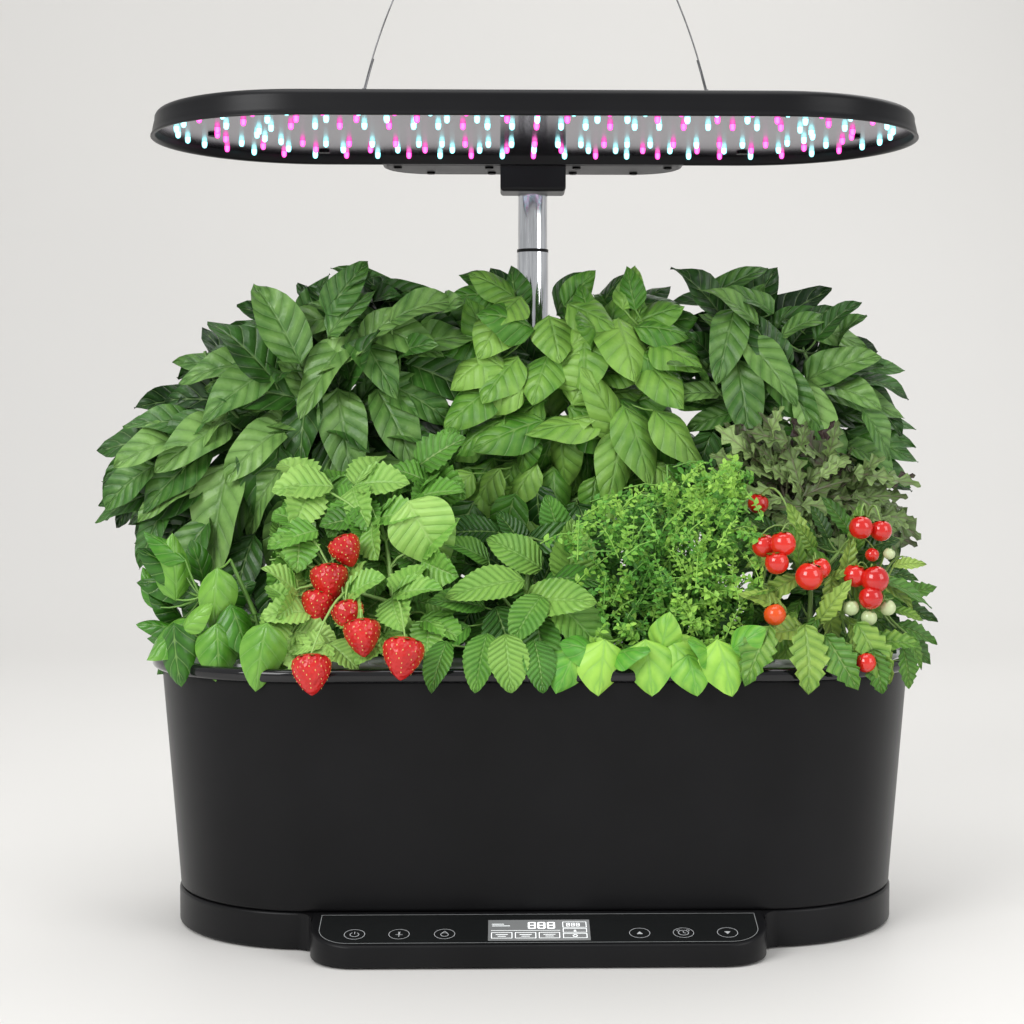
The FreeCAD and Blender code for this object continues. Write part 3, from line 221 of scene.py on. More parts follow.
# Lamp housing
# A shallow stadium dish of satin black moulded plastic that faces down, with
# a thin flared lip and a rounded roof edge; a flat arm at the back carries it.
def moulded(name, dark, light, rough=(0.32, 0.42), grain=900.0, depth=0.12, **values):
    """Moulded plastic: slight cloudiness, a fine grain and uneven gloss."""
    look = Look(name)
    cloud = look.noise(9.0, 3.0)
    look.colour(cloud, [(0.3, dark), (0.7, light)])
    look.gloss(look.noise(38.0, 5.0), *rough)
    look.bump(look.noise(grain, 2.0), depth, 0.0004)
    socket_values(look.shader, **{"Specular_IOR_Level": 0.16, **values})
    return look.material


def make(name, verts, faces, material, body, slot, replaces=(), uvs=None, crease=None):
    """Builds one piece, puts its material on and ties it to its body."""
    mesh = bpy.data.meshes.new(name)
    mesh.from_pydata([tuple(v) for v in verts], [], faces)
    mesh.update()
    if uvs is not None:
        layer = mesh.uv_layers.new(name="leaf")
        flat = [0.0] * (2 * len(mesh.loops))
        for loop in mesh.loops:
            flat[2 * loop.index], flat[2 * loop.index + 1] = uvs[loop.vertex_index]
        layer.data.foreach_set("uv", flat)
    mesh.polygons.foreach_set("use_smooth", [True] * len(mesh.polygons))
    if crease is not None:
        mesh.set_sharp_from_angle(angle=math.radians(crease))
    piece = bpy.data.objects.new(name, mesh)
    scene.collection.objects.link(piece)
    mesh.materials.append(material)
    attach(piece, body)
    if replaces:
        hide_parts(*replaces)
    return piece


def stadium_points(half, radius, steps=40):
    """Outline of two half circles joined by straight sides, anticlockwise from
    the front right."""
    points = []
    for i in range(steps + 1):
        turn = -math.pi / 2 + math.pi * i / steps
        points.append((half + radius * math.cos(turn), radius * math.sin(turn)))
    for k in range(1, 8):
        points.append((half - 2 * half * k / 8, radius))
    for i in range(steps + 1):
        turn = math.pi / 2 + math.pi * i / steps
        points.append((-half + radius * math.cos(turn), radius * math.sin(turn)))
    for k in range(1, 8):
        points.append((-half + 2 * half * k / 8, -radius))
    return points


def stadium_sweep(half, profile, closed=False, cap_first=False, cap_last=False):
    """Skin through stadium outlines, one for each (radius, height) in mm."""
    verts, faces = [], []
    for radius, height in profile:
        verts += [(x * MM, y * MM, height * MM) for x, y in stadium_points(half, radius)]
    count = len(verts) // len(profile)
    rows = len(profile)
    last = rows if closed else rows - 1
    for j in range(last):
        for i in range(count):
            a, b = j * count + i, j * count + (i + 1) % count
            c, d = ((j + 1) % rows) * count + (i + 1) % count, ((j + 1) % rows) * count + i
            faces.append((a, b, c, d))
    if cap_first:
        faces.append(tuple(reversed(range(count))))
    if cap_last:
        faces.append(tuple(range((rows - 1) * count, rows * count)))
    return verts, faces


def arc(cx, cy, radius, start, end, steps):
    """Profile points on an arc, angles in degrees."""
    return [(cx + radius * math.cos(math.radians(start + (end - start) * k / steps)),
        cy + radius * math.sin(math.radians(start + (end - start) * k / steps))) for k in range(steps + 1)]


LAMP_HALF, LAMP_BOTTOM, LAMP_TOP = 128.0, 447.8, 462.5

lamp_black = moulded("lamp_black", (0.006, 0.006, 0.007), (0.011, 0.011, 0.012), rough=(0.30, 0.38),
    grain=1400.0, depth=0.06)
skirt = [
    (88.9, 454.6), (89.0, 449.2), (89.6, 448.2), (90.6, 447.85), (91.6, 447.8), (92.0, 448.1), (91.9, 448.8),
    (91.3, 449.6),
]
skirt += [(90.9, 451.5), (90.4, 454.0), (89.7, 456.8)]
skirt += arc(85.2, 457.9, 4.5, 8, 90, 8)
skirt += [(84.0, LAMP_TOP), (60.0, LAMP_TOP), (30.0, LAMP_TOP)]
verts, faces = stadium_sweep(LAMP_HALF, skirt, cap_last=True)
make("lamp_skirt", verts, faces, lamp_black, "lamp", "lamp_plastic", replaces=("lamp_housing",), crease=50)


def rounded_outline(x_half, y_front, y_rear, radius, steps=12):
    """Plan outline that is square in front and rounded at the rear."""
    points = [(-x_half, y_front), (x_half, y_front)]
    points += arc(x_half - radius, y_rear - radius, radius, 0, 90, steps)
    points += arc(-x_half + radius, y_rear - radius, radius, 90, 180, steps)
    return points


def bands(start, rows, count, turned=False):
    """Four-sided faces between closed rows of points, one row after another."""
    faces = []
    for j in range(rows - 1):
        for i in range(count):
            a, b = start + j * count + i, start + j * count + (i + 1) % count
            faces.append((b, a, a + count, b + count) if turned else (a, b, b + count, a + count))
    return faces


def outline_stack(outlines):
    """Closed skin through equal outlines given as (points, heights) in mm."""
    rows, count = len(outlines), len(outlines[0][0])
    verts = []
    for points, heights in outlines:
        if isinstance(heights, float):
            heights = [heights] * count
        verts += [(x * MM, y * MM, z * MM) for (x, y), z in zip(points, heights)]
    caps = [tuple(reversed(range(count))), tuple(range((rows - 1) * count, rows * count))]
    return verts, bands(0, rows, count) + caps


ARM_HALF, ARM_REAR, ARM_CORNER = 94.0, 135.0, 30.0


def arm_outline(inset, y_front):
    return rounded_outline(ARM_HALF - inset, y_front, ARM_REAR - inset, ARM_CORNER - inset)


arm_layers = [(arm_outline(2.4, 93.4), 449.9), (arm_outline(2.4, 93.4), LAMP_BOTTOM + 0.4)]
arm_layers += [(arm_outline(1.4, 88.0), LAMP_BOTTOM), (arm_outline(0.0, 88.0), LAMP_BOTTOM + 0.5)]
for inset, z in ((0.0, 457.5), (0.3, 459.3), (1.2, 461.1), (2.8, 462.2), (4.8, LAMP_TOP)):
    arm_layers.append((arm_outline(inset, 84.0), z))
verts, faces = outline_stack(arm_layers)
make("lamp_arm", verts, faces, lamp_black, "lamp", "lamp_plastic", replaces=("lamp_housing",), crease=40)

arm_grey = moulded("arm_grey", (0.028, 0.028, 0.03), (0.042, 0.042, 0.045), rough=(0.36, 0.5), grain=1100.0,
    depth=0.1)
clothe("arm_cover", arm_grey)

# Mast head
# A block of the same plastic under the arm, moulded with soft lower edges,
# into which the top tube is pushed and screwed.
clothe("mast_head", moulded("head_black", (0.012, 0.012, 0.013), (0.02, 0.02, 0.022), rough=(0.3, 0.42),
    depth=0.08))
soft_edge = nodes["mast_head"].modifiers.new("soft", "BEVEL")
soft_edge.width = 0.0005
soft_edge.segments = 3

black_metal = polished("black_metal", (0.006, 0.006, 0.006), (0.014, 0.014, 0.014), rough=(0.25, 0.4))


def turned_rows(centre, profile, sides, verts):
    """Adds rows of points round a vertical axis, one for each (radius, z)."""
    x, y = centre
    for reach, z in profile:
        for i in range(sides):
            turn = 2 * math.pi * i / sides
            verts.append(((x + reach * math.cos(turn)) * MM, (y + reach * math.sin(turn)) * MM, z * MM))


def crossed_screws(name, spots, seat, radius, height, node):
    """Round-headed screws with a cross cut, heads facing down."""
    verts, faces = [], []
    sides = 16
    for x, y in spots:
        start = len(verts)
        for share, rise in ((0.45, 0.62), (0.8, 0.75), (1.0, 1.0), (1.0, 0.0)):
            reach = share * radius
            for i in range(sides):
                turn = 2 * math.pi * i / sides
                dip = 0.5 if share < 0.5 and i % 4 == 0 else 0.0
                z = seat - height * (1.0 - (1 - rise) * 0.5 - dip) if rise > 0 else seat
                verts.append(((x + reach * math.cos(turn)) * MM, (y + reach * math.sin(turn)) * MM, z * MM))
        faces += bands(start, 4, sides)
        verts.append((x * MM, y * MM, (seat - height * 0.35) * MM))
        faces += [(start + i, len(verts) - 1, start + (i + 1) % sides) for i in range(sides)]
    make(name, verts, faces, black_metal, "lamp", "black_screws", replaces=(node,), crease=45)


PANEL_Z = 453.0
PANEL_SCREWS = [(-186.0, 6.0), (-134.0, -70.0), (-128.0, 68.0), (186.0, 6.0), (134.0, -70.0), (128.0, 68.0)]
ARM_SCREWS = [(-85.0, 100.0), (-27.5, 100.0), (27.5, 100.0), (85.0, 100.0)]
ARM_SCREWS += [(-65.0, 124.0), (-26.0, 124.0), (26.0, 124.0), (65.0, 124.0)]
crossed_screws("panel_screw_heads", PANEL_SCREWS, PANEL_Z, 3.4, 1.4, "panel_screws")
crossed_screws("arm_screw_heads", ARM_SCREWS, LAMP_BOTTOM, 2.7, 1.2, "arm_screws")

# Lamp panel
# A polished reflector sheet sunk in the skirt. It mirrors the emitters, so
# each one looks like a short pill with a faint streak above it.
panel_look = Look("lamp_mirror")
brushed = panel_look.noise(30.0, 5.0, panel_look.coordinates((40, 0.8, 1)))
panel_look.colour(brushed, [(0.3, (0.085, 0.070, 0.105)), (0.7, (0.135, 0.115, 0.16))])
panel_look.gloss(brushed, 0.10, 0.16)
panel_look.bump(brushed, 0.02, 0.0002)
grooves = panel_look.node("ShaderNodeTangent", direction_type="RADIAL", axis="Y")
panel_look.join(grooves.outputs["Tangent"], panel_look.shader.inputs["Tangent"])
socket_values(panel_look.shader, Metallic=1.0, Anisotropic=0.85, Anisotropic_Rotation=0.25)
clothe("led_panel", panel_look.material)


# Emitters
# Small domed lenses in three stadium loops of fifty-two: cool white ones and
# magenta ones, all lit.
LOOPS = [(32.3, "mwwmwwmwmwmwww"), (55.0, "wmwwmwmwmwmwmm"), (77.5, "mwmwmwmwmwmwww")]


def loop_spot(half, radius, share):
    along = share * (half + radius * math.pi / 2)
    if along <= half:
        return along, radius
    turn = (along - half) / radius
    return half + radius * math.sin(turn), radius * math.cos(turn)


def emitter_spots(tone):
    found = set()
    for radius, tones in LOOPS:
        for k, letter in enumerate(tones):
            if letter == tone:
                x, y = loop_spot(LAMP_HALF, radius, k / 13.0)
                found |= {(round(sx * x, 4), round(sy * y, 4)) for sx in (-1, 1) for sy in (-1, 1)}
    return sorted(found)


def glow(name, core, colour, strength):
    look = Look(name)
    facing = look.node("ShaderNodeLayerWeight")
    facing.inputs["Blend"].default_value = 0.35
    light = look.ramp(facing.outputs["Facing"], [(0.0, core), (0.4, colour),
        (1.0, tuple(c * 0.8 for c in colour))])
    look.join(light, look.shader.inputs["Emission Color"])
    socket_values(look.shader, Emission_Strength=strength, Roughness=0.2, Base_Color=(*colour, 1.0))
    return look.material


def domes(name, tone, material, slot, node):
    verts, faces = [], []
    sides = 14
    profile = [
        (1.6, PANEL_Z), (1.6, PANEL_Z - 1.2), (1.5, PANEL_Z - 2.2), (1.15, PANEL_Z - 3.0),
        (0.6, PANEL_Z - 3.4),
    ]
    for x, y in emitter_spots(tone):
        start = len(verts)
        turned_rows((x, y), profile, sides, verts)
        faces += bands(start, len(profile), sides, turned=True)
        last = start + (len(profile) - 1) * sides
        verts.append((x * MM, y * MM, (PANEL_Z - 3.5) * MM))
        faces += [(last + (i + 1) % sides, last + i, len(verts) - 1) for i in range(sides)]
    make(name, verts, faces, material, "lamp", slot, replaces=(node,))


domes("white_domes", "w", glow("white_glow", (0.55, 0.95, 0.96), (0.22, 0.78, 0.82), 2.6), "white_emitter",
    "white_leds")
domes("red_domes", "m", glow("red_glow", (0.95, 0.20, 0.62), (0.85, 0.03, 0.42), 2.2), "red_emitter",
    "red_leds")

# Mast
# Three thin chrome tubes that slide in each other, with a dark plastic
# bushing at the top of each lower tube.
chrome = polished("mast_chrome", (0.60, 0.61, 0.63), (0.82, 0.83, 0.85), rough=(0.07, 0.13))
for name in ("mast_lower", "mast_middle", "mast_upper"):
    clothe(name, chrome)
bushing = moulded("bushing", (0.01, 0.01, 0.01), (0.02, 0.02, 0.02))
for name in ("lower_bushing", "middle_bushing"):
    clothe(name, bushing)

# Tank
# A deep tapered tub moulded in satin black, with rounded bottom edge and an
# even wall; it stands on the base and is hidden inside by the deck.
TANK_HALF = 121.0
tank_black = moulded("tank_black", (0.0045, 0.0045, 0.005), (0.008, 0.008, 0.009), rough=(0.30, 0.38),
    grain=1500.0, depth=0.07)
tank_profile = [(30.0, 21.1), (70.0, 21.1), (82.0, 21.15)]
tank_profile += [(83.6, 21.5), (84.5, 22.3), (84.8, 23.6)]
tank_profile += [(84.5 + 10.0 * (z - 21.05) / 125.95, z) for z in (30, 50, 70, 90, 110, 130, 143, 146.2)]
tank_profile += [(94.4, 146.8), (94.0, 147.0), (92.4, 147.0), (92.0, 146.6)]
tank_profile += [(82.0 + 10.0 * (z - 24.05) / 122.95, z) for z in (130, 90, 50, 30)]
tank_profile += [(81.4, 25.2), (79.6, 24.2), (60.0, 24.05), (30.0, 24.05)]
verts, faces = stadium_sweep(TANK_HALF, tank_profile, cap_first=True, cap_last=True)
make("tank_tub", verts, faces, tank_black, "tank", "tank_plastic", replaces=("tank_shell",), crease=45)

pump_grey = moulded("pump_grey", (0.02, 0.02, 0.022), (0.035, 0.035, 0.038))
for name in ("pump_body", "pump_filter", "pump_riser"):
    clothe(name, pump_grey)
rubber = moulded("rubber", (0.012, 0.012, 0.012), (0.022, 0.022, 0.022), rough=(0.6, 0.75), grain=500.0,
    depth=0.2)
clothe("suction_cups", rubber)
clothe("rubber_feet", rubber)

# Rim and deck
# A glossy black band with a rounded section hides the joint between the tank
# and the pale planting deck, which carries fifteen pods and a water port.
RIM_HALF = 122.8
rim_gloss = moulded("rim_gloss", (0.006, 0.006, 0.007), (0.010, 0.010, 0.011), rough=(0.06, 0.12),
    grain=300.0, depth=0.015, Coat_Weight=0.6, Coat_Roughness=0.04)
rim_profile = [(91.3, 149.2), (91.2, 153.6), (91.6, 154.2), (92.4, 154.4)]
rim_profile += [(94.0, 154.4)] + arc(95.2, 151.4, 3.0, 88, -2, 8)
rim_profile += arc(95.9, 149.6, 2.3, -2, -88, 6)
rim_profile += [(94.0, 147.3), (88.2, 147.3), (88.0, 147.5), (88.0, 149.1), (88.3, 149.2)]
verts, faces = stadium_sweep(RIM_HALF, rim_profile, closed=True)
make("rim_ring", verts, [tuple(reversed(f)) for f in faces], rim_gloss, "deck", "rim_plastic",
    replaces=("rim_band",), crease=50)
deck_white = moulded("deck_white", (0.52, 0.53, 0.52), (0.62, 0.63, 0.62), rough=(0.35, 0.5), depth=0.08)
for name in ("grow_deck", "pod_collars", "grow_baskets"):
    clothe(name, deck_white)
peat = Look("peat")
crumbs = peat.noise(420.0, 6.0)
peat.colour(crumbs, [(0.3, (0.02, 0.012, 0.007)), (0.55, (0.07, 0.045, 0.025)), (0.75, (0.16, 0.12, 0.07))])
peat.bump(crumbs, 0.6, 0.001)
socket_values(peat.shader, Roughness=0.9)
clothe("growth_sponges", peat.material)

# Base
# A low satin black moulded ring under the tank, with a wide console joined to
# its front that slopes towards the user, and a short carrier for the mast.
BASE_HALF = 122.8
BASE_RADIUS = 83.7
BASE_TOP = 21.0
SLOPE = math.radians(12.4)
CONSOLE_HALF, CONSOLE_FRONT = 122.0, -121.6
base_black = moulded("base_black", (0.006, 0.006, 0.0065), (0.011, 0.011, 0.012), rough=(0.30, 0.40),
    grain=1500.0, depth=0.07)
ring_profile = [(60.0, 1.0), (82.6, 1.0), (83.5, 1.4), (83.7, 2.2), (83.7, 18.6)]
ring_profile += arc(82.0, 19.3, 1.7, 0, 90, 6) + [(70.0, BASE_TOP), (30.0, BASE_TOP)]


def base_piece(name, skin, crease):
    make(name, *skin, base_black, "base", "base_plastic", replaces=("base_housing",), crease=crease)


base_piece("base_ring", stadium_sweep(BASE_HALF, ring_profile, cap_last=True), 55)


def console_height(y, sink=0.0):
    return min(BASE_TOP, BASE_TOP + (y + BASE_RADIUS) * math.tan(SLOPE)) - sink


def console_outline(inset):
    """Plan of the console, square where it meets the ring."""
    half, front, corner = CONSOLE_HALF - inset, CONSOLE_FRONT + inset, 25.0 - inset
    points = [(half, -83.2), (-half, -83.2)]
    points += arc(-half + corner, front + corner, corner, 180, 270, 14)
    points += arc(half - corner, front + corner, corner, 270, 360, 14)
    return points


console_layers = [(console_outline(inset), height) for inset, height in ((1.2, 1.0), (0.3, 1.3), (0.0, 2.0))]
for inset, sink in ((0.0, 1.6), (0.15, 0.9), (0.6, 0.35), (1.3, 0.05), (2.0, 0.0)):
    layer = console_outline(inset)
    console_layers.append((layer, [console_height(y, sink) for x, y in layer]))
base_piece("base_console", outline_stack(console_layers), 40)


def neck_fillet(side):
    """Concave corner between the console's flank and the ring."""
    verts, faces = [], []
    radius, steps, levels = 8.0, 10, (1.0, 2.0, 19.6, 20.7)
    centre_x, centre_y = side * (CONSOLE_HALF + radius), -(BASE_RADIUS + radius)
    for z in levels:
        for k in range(steps + 1):
            turn = math.radians(90 * k / steps)
            x = centre_x - side * radius * math.sin(turn)
            y = centre_y + radius * math.cos(turn)
            lower = min(z, console_height(y, 0.4)) if z > 2 else z
            verts.append((x * MM, y * MM, lower * MM))
    for j in range(len(levels) - 1):
        for k in range(steps):
            a = j * (steps + 1) + k
            quad = (a, a + 1, a + steps + 2, a + steps + 1)
            faces.append(quad if side < 0 else tuple(reversed(quad)))
    inner = len(verts)
    verts.append((side * 121.0 * MM, -82.6 * MM, 20.7 * MM))
    top = (len(levels) - 1) * (steps + 1)
    for k in range(steps):
        tri = (top + k, top + k + 1, inner)
        faces.append(tri if side < 0 else tuple(reversed(tri)))
    return verts, faces


for side, word in ((-1, "left"), (1, "right")):
    base_piece("console_neck_" + word, neck_fillet(side), 50)


def carrier_outline(inset):
    return rounded_outline(28.0 - inset, 60.0, 129.0 - inset, 14.0 - inset, steps=10)


carrier = [(carrier_outline(0.8), 1.0), (carrier_outline(0.0), 1.8), (carrier_outline(0.0), 19.4)]
carrier += [(carrier_outline(0.3), 20.3), (carrier_outline(1.0), 20.8), (carrier_outline(2.0), BASE_TOP)]
base_piece("mast_carrier", outline_stack(carrier), 40)
clothe("base_cover", moulded("cover_black", (0.014, 0.014, 0.014), (0.022, 0.022, 0.023), rough=(0.45, 0.6)))
clothe("base_screws", bright_steel)
clothe("power_inlet", bright_steel)
clothe("mast_socket", moulded("socket_black", (0.012, 0.012, 0.012), (0.02, 0.02, 0.02)))
circuit = Look("circuit")
tracks = circuit.noise(160.0, 3.0, circuit.coordinates((1, 3, 1)))
circuit.colour(tracks, [(0.4, (0.01, 0.09, 0.035)), (0.55, (0.03, 0.16, 0.06))])
circuit.bump(tracks, 0.1, 0.0003)
socket_values(circuit.shader, Roughness=0.4)
clothe("touch_board", circuit.material)
clothe("main_board", circuit.material)
clothe("display_module", moulded("display_case", (0.02, 0.02, 0.02), (0.03, 0.03, 0.03)))

# Control glass
# One strip of tinted glass lies flush in the console; its keys are printed
# rings and a pale digital display shines through it.
glass_black = moulded("glass_black", (0.010, 0.011, 0.011), (0.014, 0.015, 0.015), rough=(0.05, 0.09),
    grain=60.0, depth=0.005, Coat_Weight=0.8, Coat_Roughness=0.03, IOR=1.52)
clothe("control_glass", glass_black)
glass_edge = nodes["control_glass"].modifiers.new("ground_edge", "BEVEL")
glass_edge.width = 0.00035
glass_edge.segments = 2
GLASS_REAR = -86.5
SLOPE_Z = BASE_TOP - (-GLASS_REAR - BASE_RADIUS) * math.tan(SLOPE) + 0.09


def on_glass(x, along, lift=0.0):
    """Point on the glass: across in X, down the slope from its rear edge."""
    y = GLASS_REAR - along * math.cos(SLOPE) - lift * math.sin(SLOPE)
    z = SLOPE_Z - along * math.sin(SLOPE) + lift * math.cos(SLOPE)
    return (x * MM, y * MM, z * MM)


class Print:
    """Flat marks laid on the glass, gathered into one mesh."""

    def __init__(self, down=0.0):
        self.verts = []
        self.faces = []
        self.down = down

    def patch(self, corners, lift=0.03):
        start = len(self.verts)
        self.verts += [on_glass(x, along + self.down, lift) for x, along in corners]
        self.faces.append(tuple(range(start, start + len(corners))))

    def bar(self, x0, y0, x1, y1, width=0.35, lift=0.03):
        dx, dy = x1 - x0, y1 - y0
        far = math.hypot(dx, dy) or 1.0
        nx, ny = -dy / far * width / 2, dx / far * width / 2
        corners = [(x0 + nx, y0 + ny), (x1 + nx, y1 + ny), (x1 - nx, y1 - ny), (x0 - nx, y0 - ny)]
        self.patch(corners, lift)

    def ring(self, cx, cy, radius, width=0.35, start=0.0, end=360.0, lift=0.03):
        steps = max(12, int(abs(end - start) / 9))
        for k in range(steps):
            a = math.radians(start + (end - start) * k / steps)
            b = math.radians(start + (end - start) * (k + 1) / steps)
            inner, outer = radius - width / 2, radius + width / 2
            corners = [(cx + r * math.sin(t), cy - r * math.cos(t))
                for r, t in ((inner, a), (outer, a), (outer, b), (inner, b))]
            self.patch(corners, lift)

    def frame(self, x0, y0, x1, y1, width=0.3, lift=0.03):
        for line in ((x0, y0, x1, y0), (x1, y0, x1, y1), (x1, y1, x0, y1), (x0, y1, x0, y0)):
            self.bar(*line, width=width, lift=lift)


# Flat colour with a faint glow: for print, seeds and lit digits, and for the painted glint along the glass
# edge.
def ink_and_glint(name, colour, shine):
    look = Look(name)
    dots = look.noise(700.0, 2.0)
    look.colour(dots, [(0.3, tuple(c * 0.85 for c in colour)), (0.7, colour)])
    socket_values(look.shader, Emission_Color=(*colour, 1.0), Emission_Strength=shine, Roughness=0.4)
    return look.material


POWER_KEY, PLANT_KEY, PUMP_KEY = -97.5, -74.0, -50.0
UP_KEY, CLOCK_KEY, DOWN_KEY = 53.2, 76.4, 99.8
keys = Print(down=22.6)
for x in (POWER_KEY, PLANT_KEY, PUMP_KEY, UP_KEY, CLOCK_KEY, DOWN_KEY):
    keys.ring(x, 0.0, 5.4, width=0.28)
keys.ring(POWER_KEY, 0.2, 2.3, start=35, end=325)
keys.bar(POWER_KEY, -3.0, POWER_KEY, -0.4)
keys.ring(PLANT_KEY - 1.3, -1.0, 1.6, start=20, end=200)
keys.ring(PLANT_KEY + 1.3, -1.0, 1.6, start=160, end=340)
keys.bar(PLANT_KEY, 3.0, PLANT_KEY, -1.8)
keys.ring(PUMP_KEY, 0.7, 2.0)
keys.bar(PUMP_KEY - 1.7, -0.4, PUMP_KEY, -3.2)
keys.bar(PUMP_KEY + 1.7, -0.4, PUMP_KEY, -3.2)
keys.patch([(UP_KEY - 1.7, 1.2), (UP_KEY + 1.7, 1.2), (UP_KEY, -1.6)])
keys.ring(CLOCK_KEY, 0.0, 2.7)
keys.bar(CLOCK_KEY, 0.0, CLOCK_KEY, -1.8)
keys.bar(CLOCK_KEY, 0.0, CLOCK_KEY + 1.4, 0.6)
keys.ring(CLOCK_KEY - 2.4, -2.4, 0.8, start=210, end=420)
keys.ring(CLOCK_KEY + 2.4, -2.4, 0.8, start=300, end=510)
keys.patch([(DOWN_KEY - 1.7, -1.2), (DOWN_KEY, 1.6), (DOWN_KEY + 1.7, -1.2)])
make("key_marks", keys.verts, keys.faces, ink_and_glint("key_ink", (0.50, 0.51, 0.52), 0.25), "base", "console_glass")

# A thin pale line that shines faintly round the outline of the glass: a painted glint along its edge.
edge_glint_marks = Print()
outline = [(-116.6, 0.4), (116.6, 0.4)]
outline += [(x, -y) for x, y in reversed(arc(100.6, -16.6, 16.0, -90, 0, 14))]
outline += [(x, -y) for x, y in reversed(arc(-100.6, -16.6, 16.0, 180, 270, 14))]
for (ax, ay), (bx, by) in zip(outline, outline[1:] + outline[:1]):
    edge_glint_marks.bar(ax, ay, bx, by, width=0.32, lift=0.02)
make("glass_edge_glint", edge_glint_marks.verts, edge_glint_marks.faces, ink_and_glint("edge_glint", (0.34, 0.35, 0.35), 0.1), "base",
    "console_glass")

# Display
# A pale liquid crystal panel behind the glass with lit digits, three frames
# under them and three at the right.
SCREEN_DOWN = 2.3
screen = Print(down=SCREEN_DOWN)
screen.patch([(-27.0, 4.8), (27.0, 4.8), (27.0, 28.2), (-27.0, 28.2)], lift=0.01)
screen_look = Look("display_screen")
sheen = screen_look.noise(14.0, 2.0)
screen_look.colour(sheen, [(0.35, (0.16, 0.165, 0.165)), (0.65, (0.24, 0.245, 0.245))])
socket_values(screen_look.shader, Roughness=0.12, Emission_Color=(0.20, 0.205, 0.205, 1.0),
    Emission_Strength=0.35)
make("display_screen", screen.verts, screen.faces, screen_look.material, "base", "display_body")

digits = Print(down=SCREEN_DOWN)
SEGMENTS = [
    ((0, 0), (1, 0)), ((1, 0), (1, 0.5)), ((1, 0.5), (1, 1)), ((0, 1), (1, 1)), ((0, 0.5), (0, 1)),
    ((0, 0), (0, 0.5)), ((0, 0.5), (1, 0.5)),
]


def eight(x, along, wide, tall, width):
    for (ax, ay), (bx, by) in SEGMENTS:
        digits.bar(x + ax * wide, along + ay * tall, x + bx * wide, along + by * tall, width=width, lift=0.05)


for k in range(3):
    eight(-5.4 + 5.1 * k, 7.9, 3.3, 6.6, 0.95)
for k in range(3):
    eight(14.8 + 2.6 * k, 9.0, 1.5, 3.2, 0.42)
digits.bar(-25.4, 16.9, 11.2, 16.9, width=0.3, lift=0.05)
for x0 in (-25.2, -12.6, 0.0):
    digits.frame(x0, 19.2, x0 + 10.8, 25.4, width=0.35, lift=0.05)
    digits.bar(x0 + 2.2, 21.4, x0 + 8.6, 21.4, width=0.45, lift=0.05)
    digits.bar(x0 + 3.2, 23.3, x0 + 7.6, 23.3, width=0.45, lift=0.05)
for y0, y1 in ((7.4, 13.6), (15.0, 19.2), (20.6, 25.4)):
    digits.frame(12.8, y0, 25.2, y1, width=0.35, lift=0.05)
digits.patch([(18.2, 18.2), (19.9, 18.2), (19.05, 16.1)], lift=0.05)
digits.ring(19.0, 23.0, 1.1, width=0.45, lift=0.05)
digits.bar(-25.0, 9.6, -18.6, 9.6, width=0.5, lift=0.05)
digits.bar(-25.0, 11.6, -15.4, 11.6, width=0.5, lift=0.05)
make("display_digits", digits.verts, digits.faces, ink_and_glint("display_white", (0.92, 0.95, 0.95), 1.1), "base",
    "display_body")

# Rear left basil
# A broad dark plant rooted in its pod. Its big quilted leaves, each a thin
# blade with a midrib and side veins, hang on stalks past the tank's end.
PLANT_Z = 155.0
PX_MM = 0.58


def seen_at(px, py, y):
    """Point at depth y (mm) that the camera sees at a place in the picture."""
    ray = look * FOCAL_PX + right * (px - PICTURE / 2 - SHIFT_PX) + up * (PICTURE / 2 - py)
    share = (y * MM - eye.y) / ray.y
    return (eye + ray * share) / MM


def leaf_look(name, deep, middle, bright, rib, side_veins=7.0, slant=2.6, relief=0.5, rough=(0.34, 0.5),
        freckle=60.0):
    """Leaf skin: veins from the blade's own map, tone that differs by leaf, painted shade where the blade
    dips to the sunken veins and painted light on the raised quilting.
    """
    look = Look(name)
    uv = look.node("ShaderNodeUVMap", uv_map="leaf")
    split = look.node("ShaderNodeSeparateXYZ")
    look.join(uv.outputs["UV"], split.inputs["Vector"])
    across = look.math("ABSOLUTE", look.math("SUBTRACT", look.math("MULTIPLY", split.outputs["X"], 2.0), 1.0))
    rising = look.math("MULTIPLY", split.outputs["Y"], side_veins)
    phase = look.math("SUBTRACT", rising, look.math("MULTIPLY", across, slant * 0.5))
    saw = look.math("PINGPONG", phase, 0.5)
    quilt = look.math("POWER", look.math("MULTIPLY", saw, 2.0), 0.5)
    mid = look.math("MINIMUM", look.math("MULTIPLY", across, 9.0), 1.0)
    skin = look.math("MULTIPLY", quilt, mid)
    crinkle = look.noise(freckle * 4.0, 4.0)
    height = look.math("ADD", skin, look.math("MULTIPLY", crinkle, 0.5))
    look.bump(height, relief, 0.0014)
    tone = look.node("ShaderNodeAttribute", attribute_name="tone")
    spots = look.math("MULTIPLY", look.math("SUBTRACT", look.noise(freckle, 4.0), 0.5), 0.8)
    mottled = look.math("ADD", tone.outputs["Fac"], spots)
    # Painted shade and light from the relief: darker where the blade dips towards the veins, lighter on the
    # raised quilting.
    relief_shade = look.math("ADD", mottled, look.math("MULTIPLY", look.math("SUBTRACT", skin, 0.75), 0.24))
    blade = look.ramp(relief_shade, [(0.08, deep), (0.5, middle), (0.95, bright)])
    ribs = look.node("ShaderNodeMix", data_type="RGBA")
    line = look.math("SUBTRACT", 1.0, look.math("MINIMUM", look.math("MULTIPLY", skin, 2.6), 1.0))
    look.join(look.math("MULTIPLY", line, 0.55), ribs.inputs["Factor"])
    look.join(blade, ribs.inputs[6])
    ribs.inputs[7].default_value = (*rib, 1.0)
    look.join(ribs.outputs[2], look.shader.inputs["Base Color"])
    look.gloss(look.noise(90.0, 3.0), *rough)
    socket_values(look.shader, Specular_IOR_Level=0.42)
    return look.material


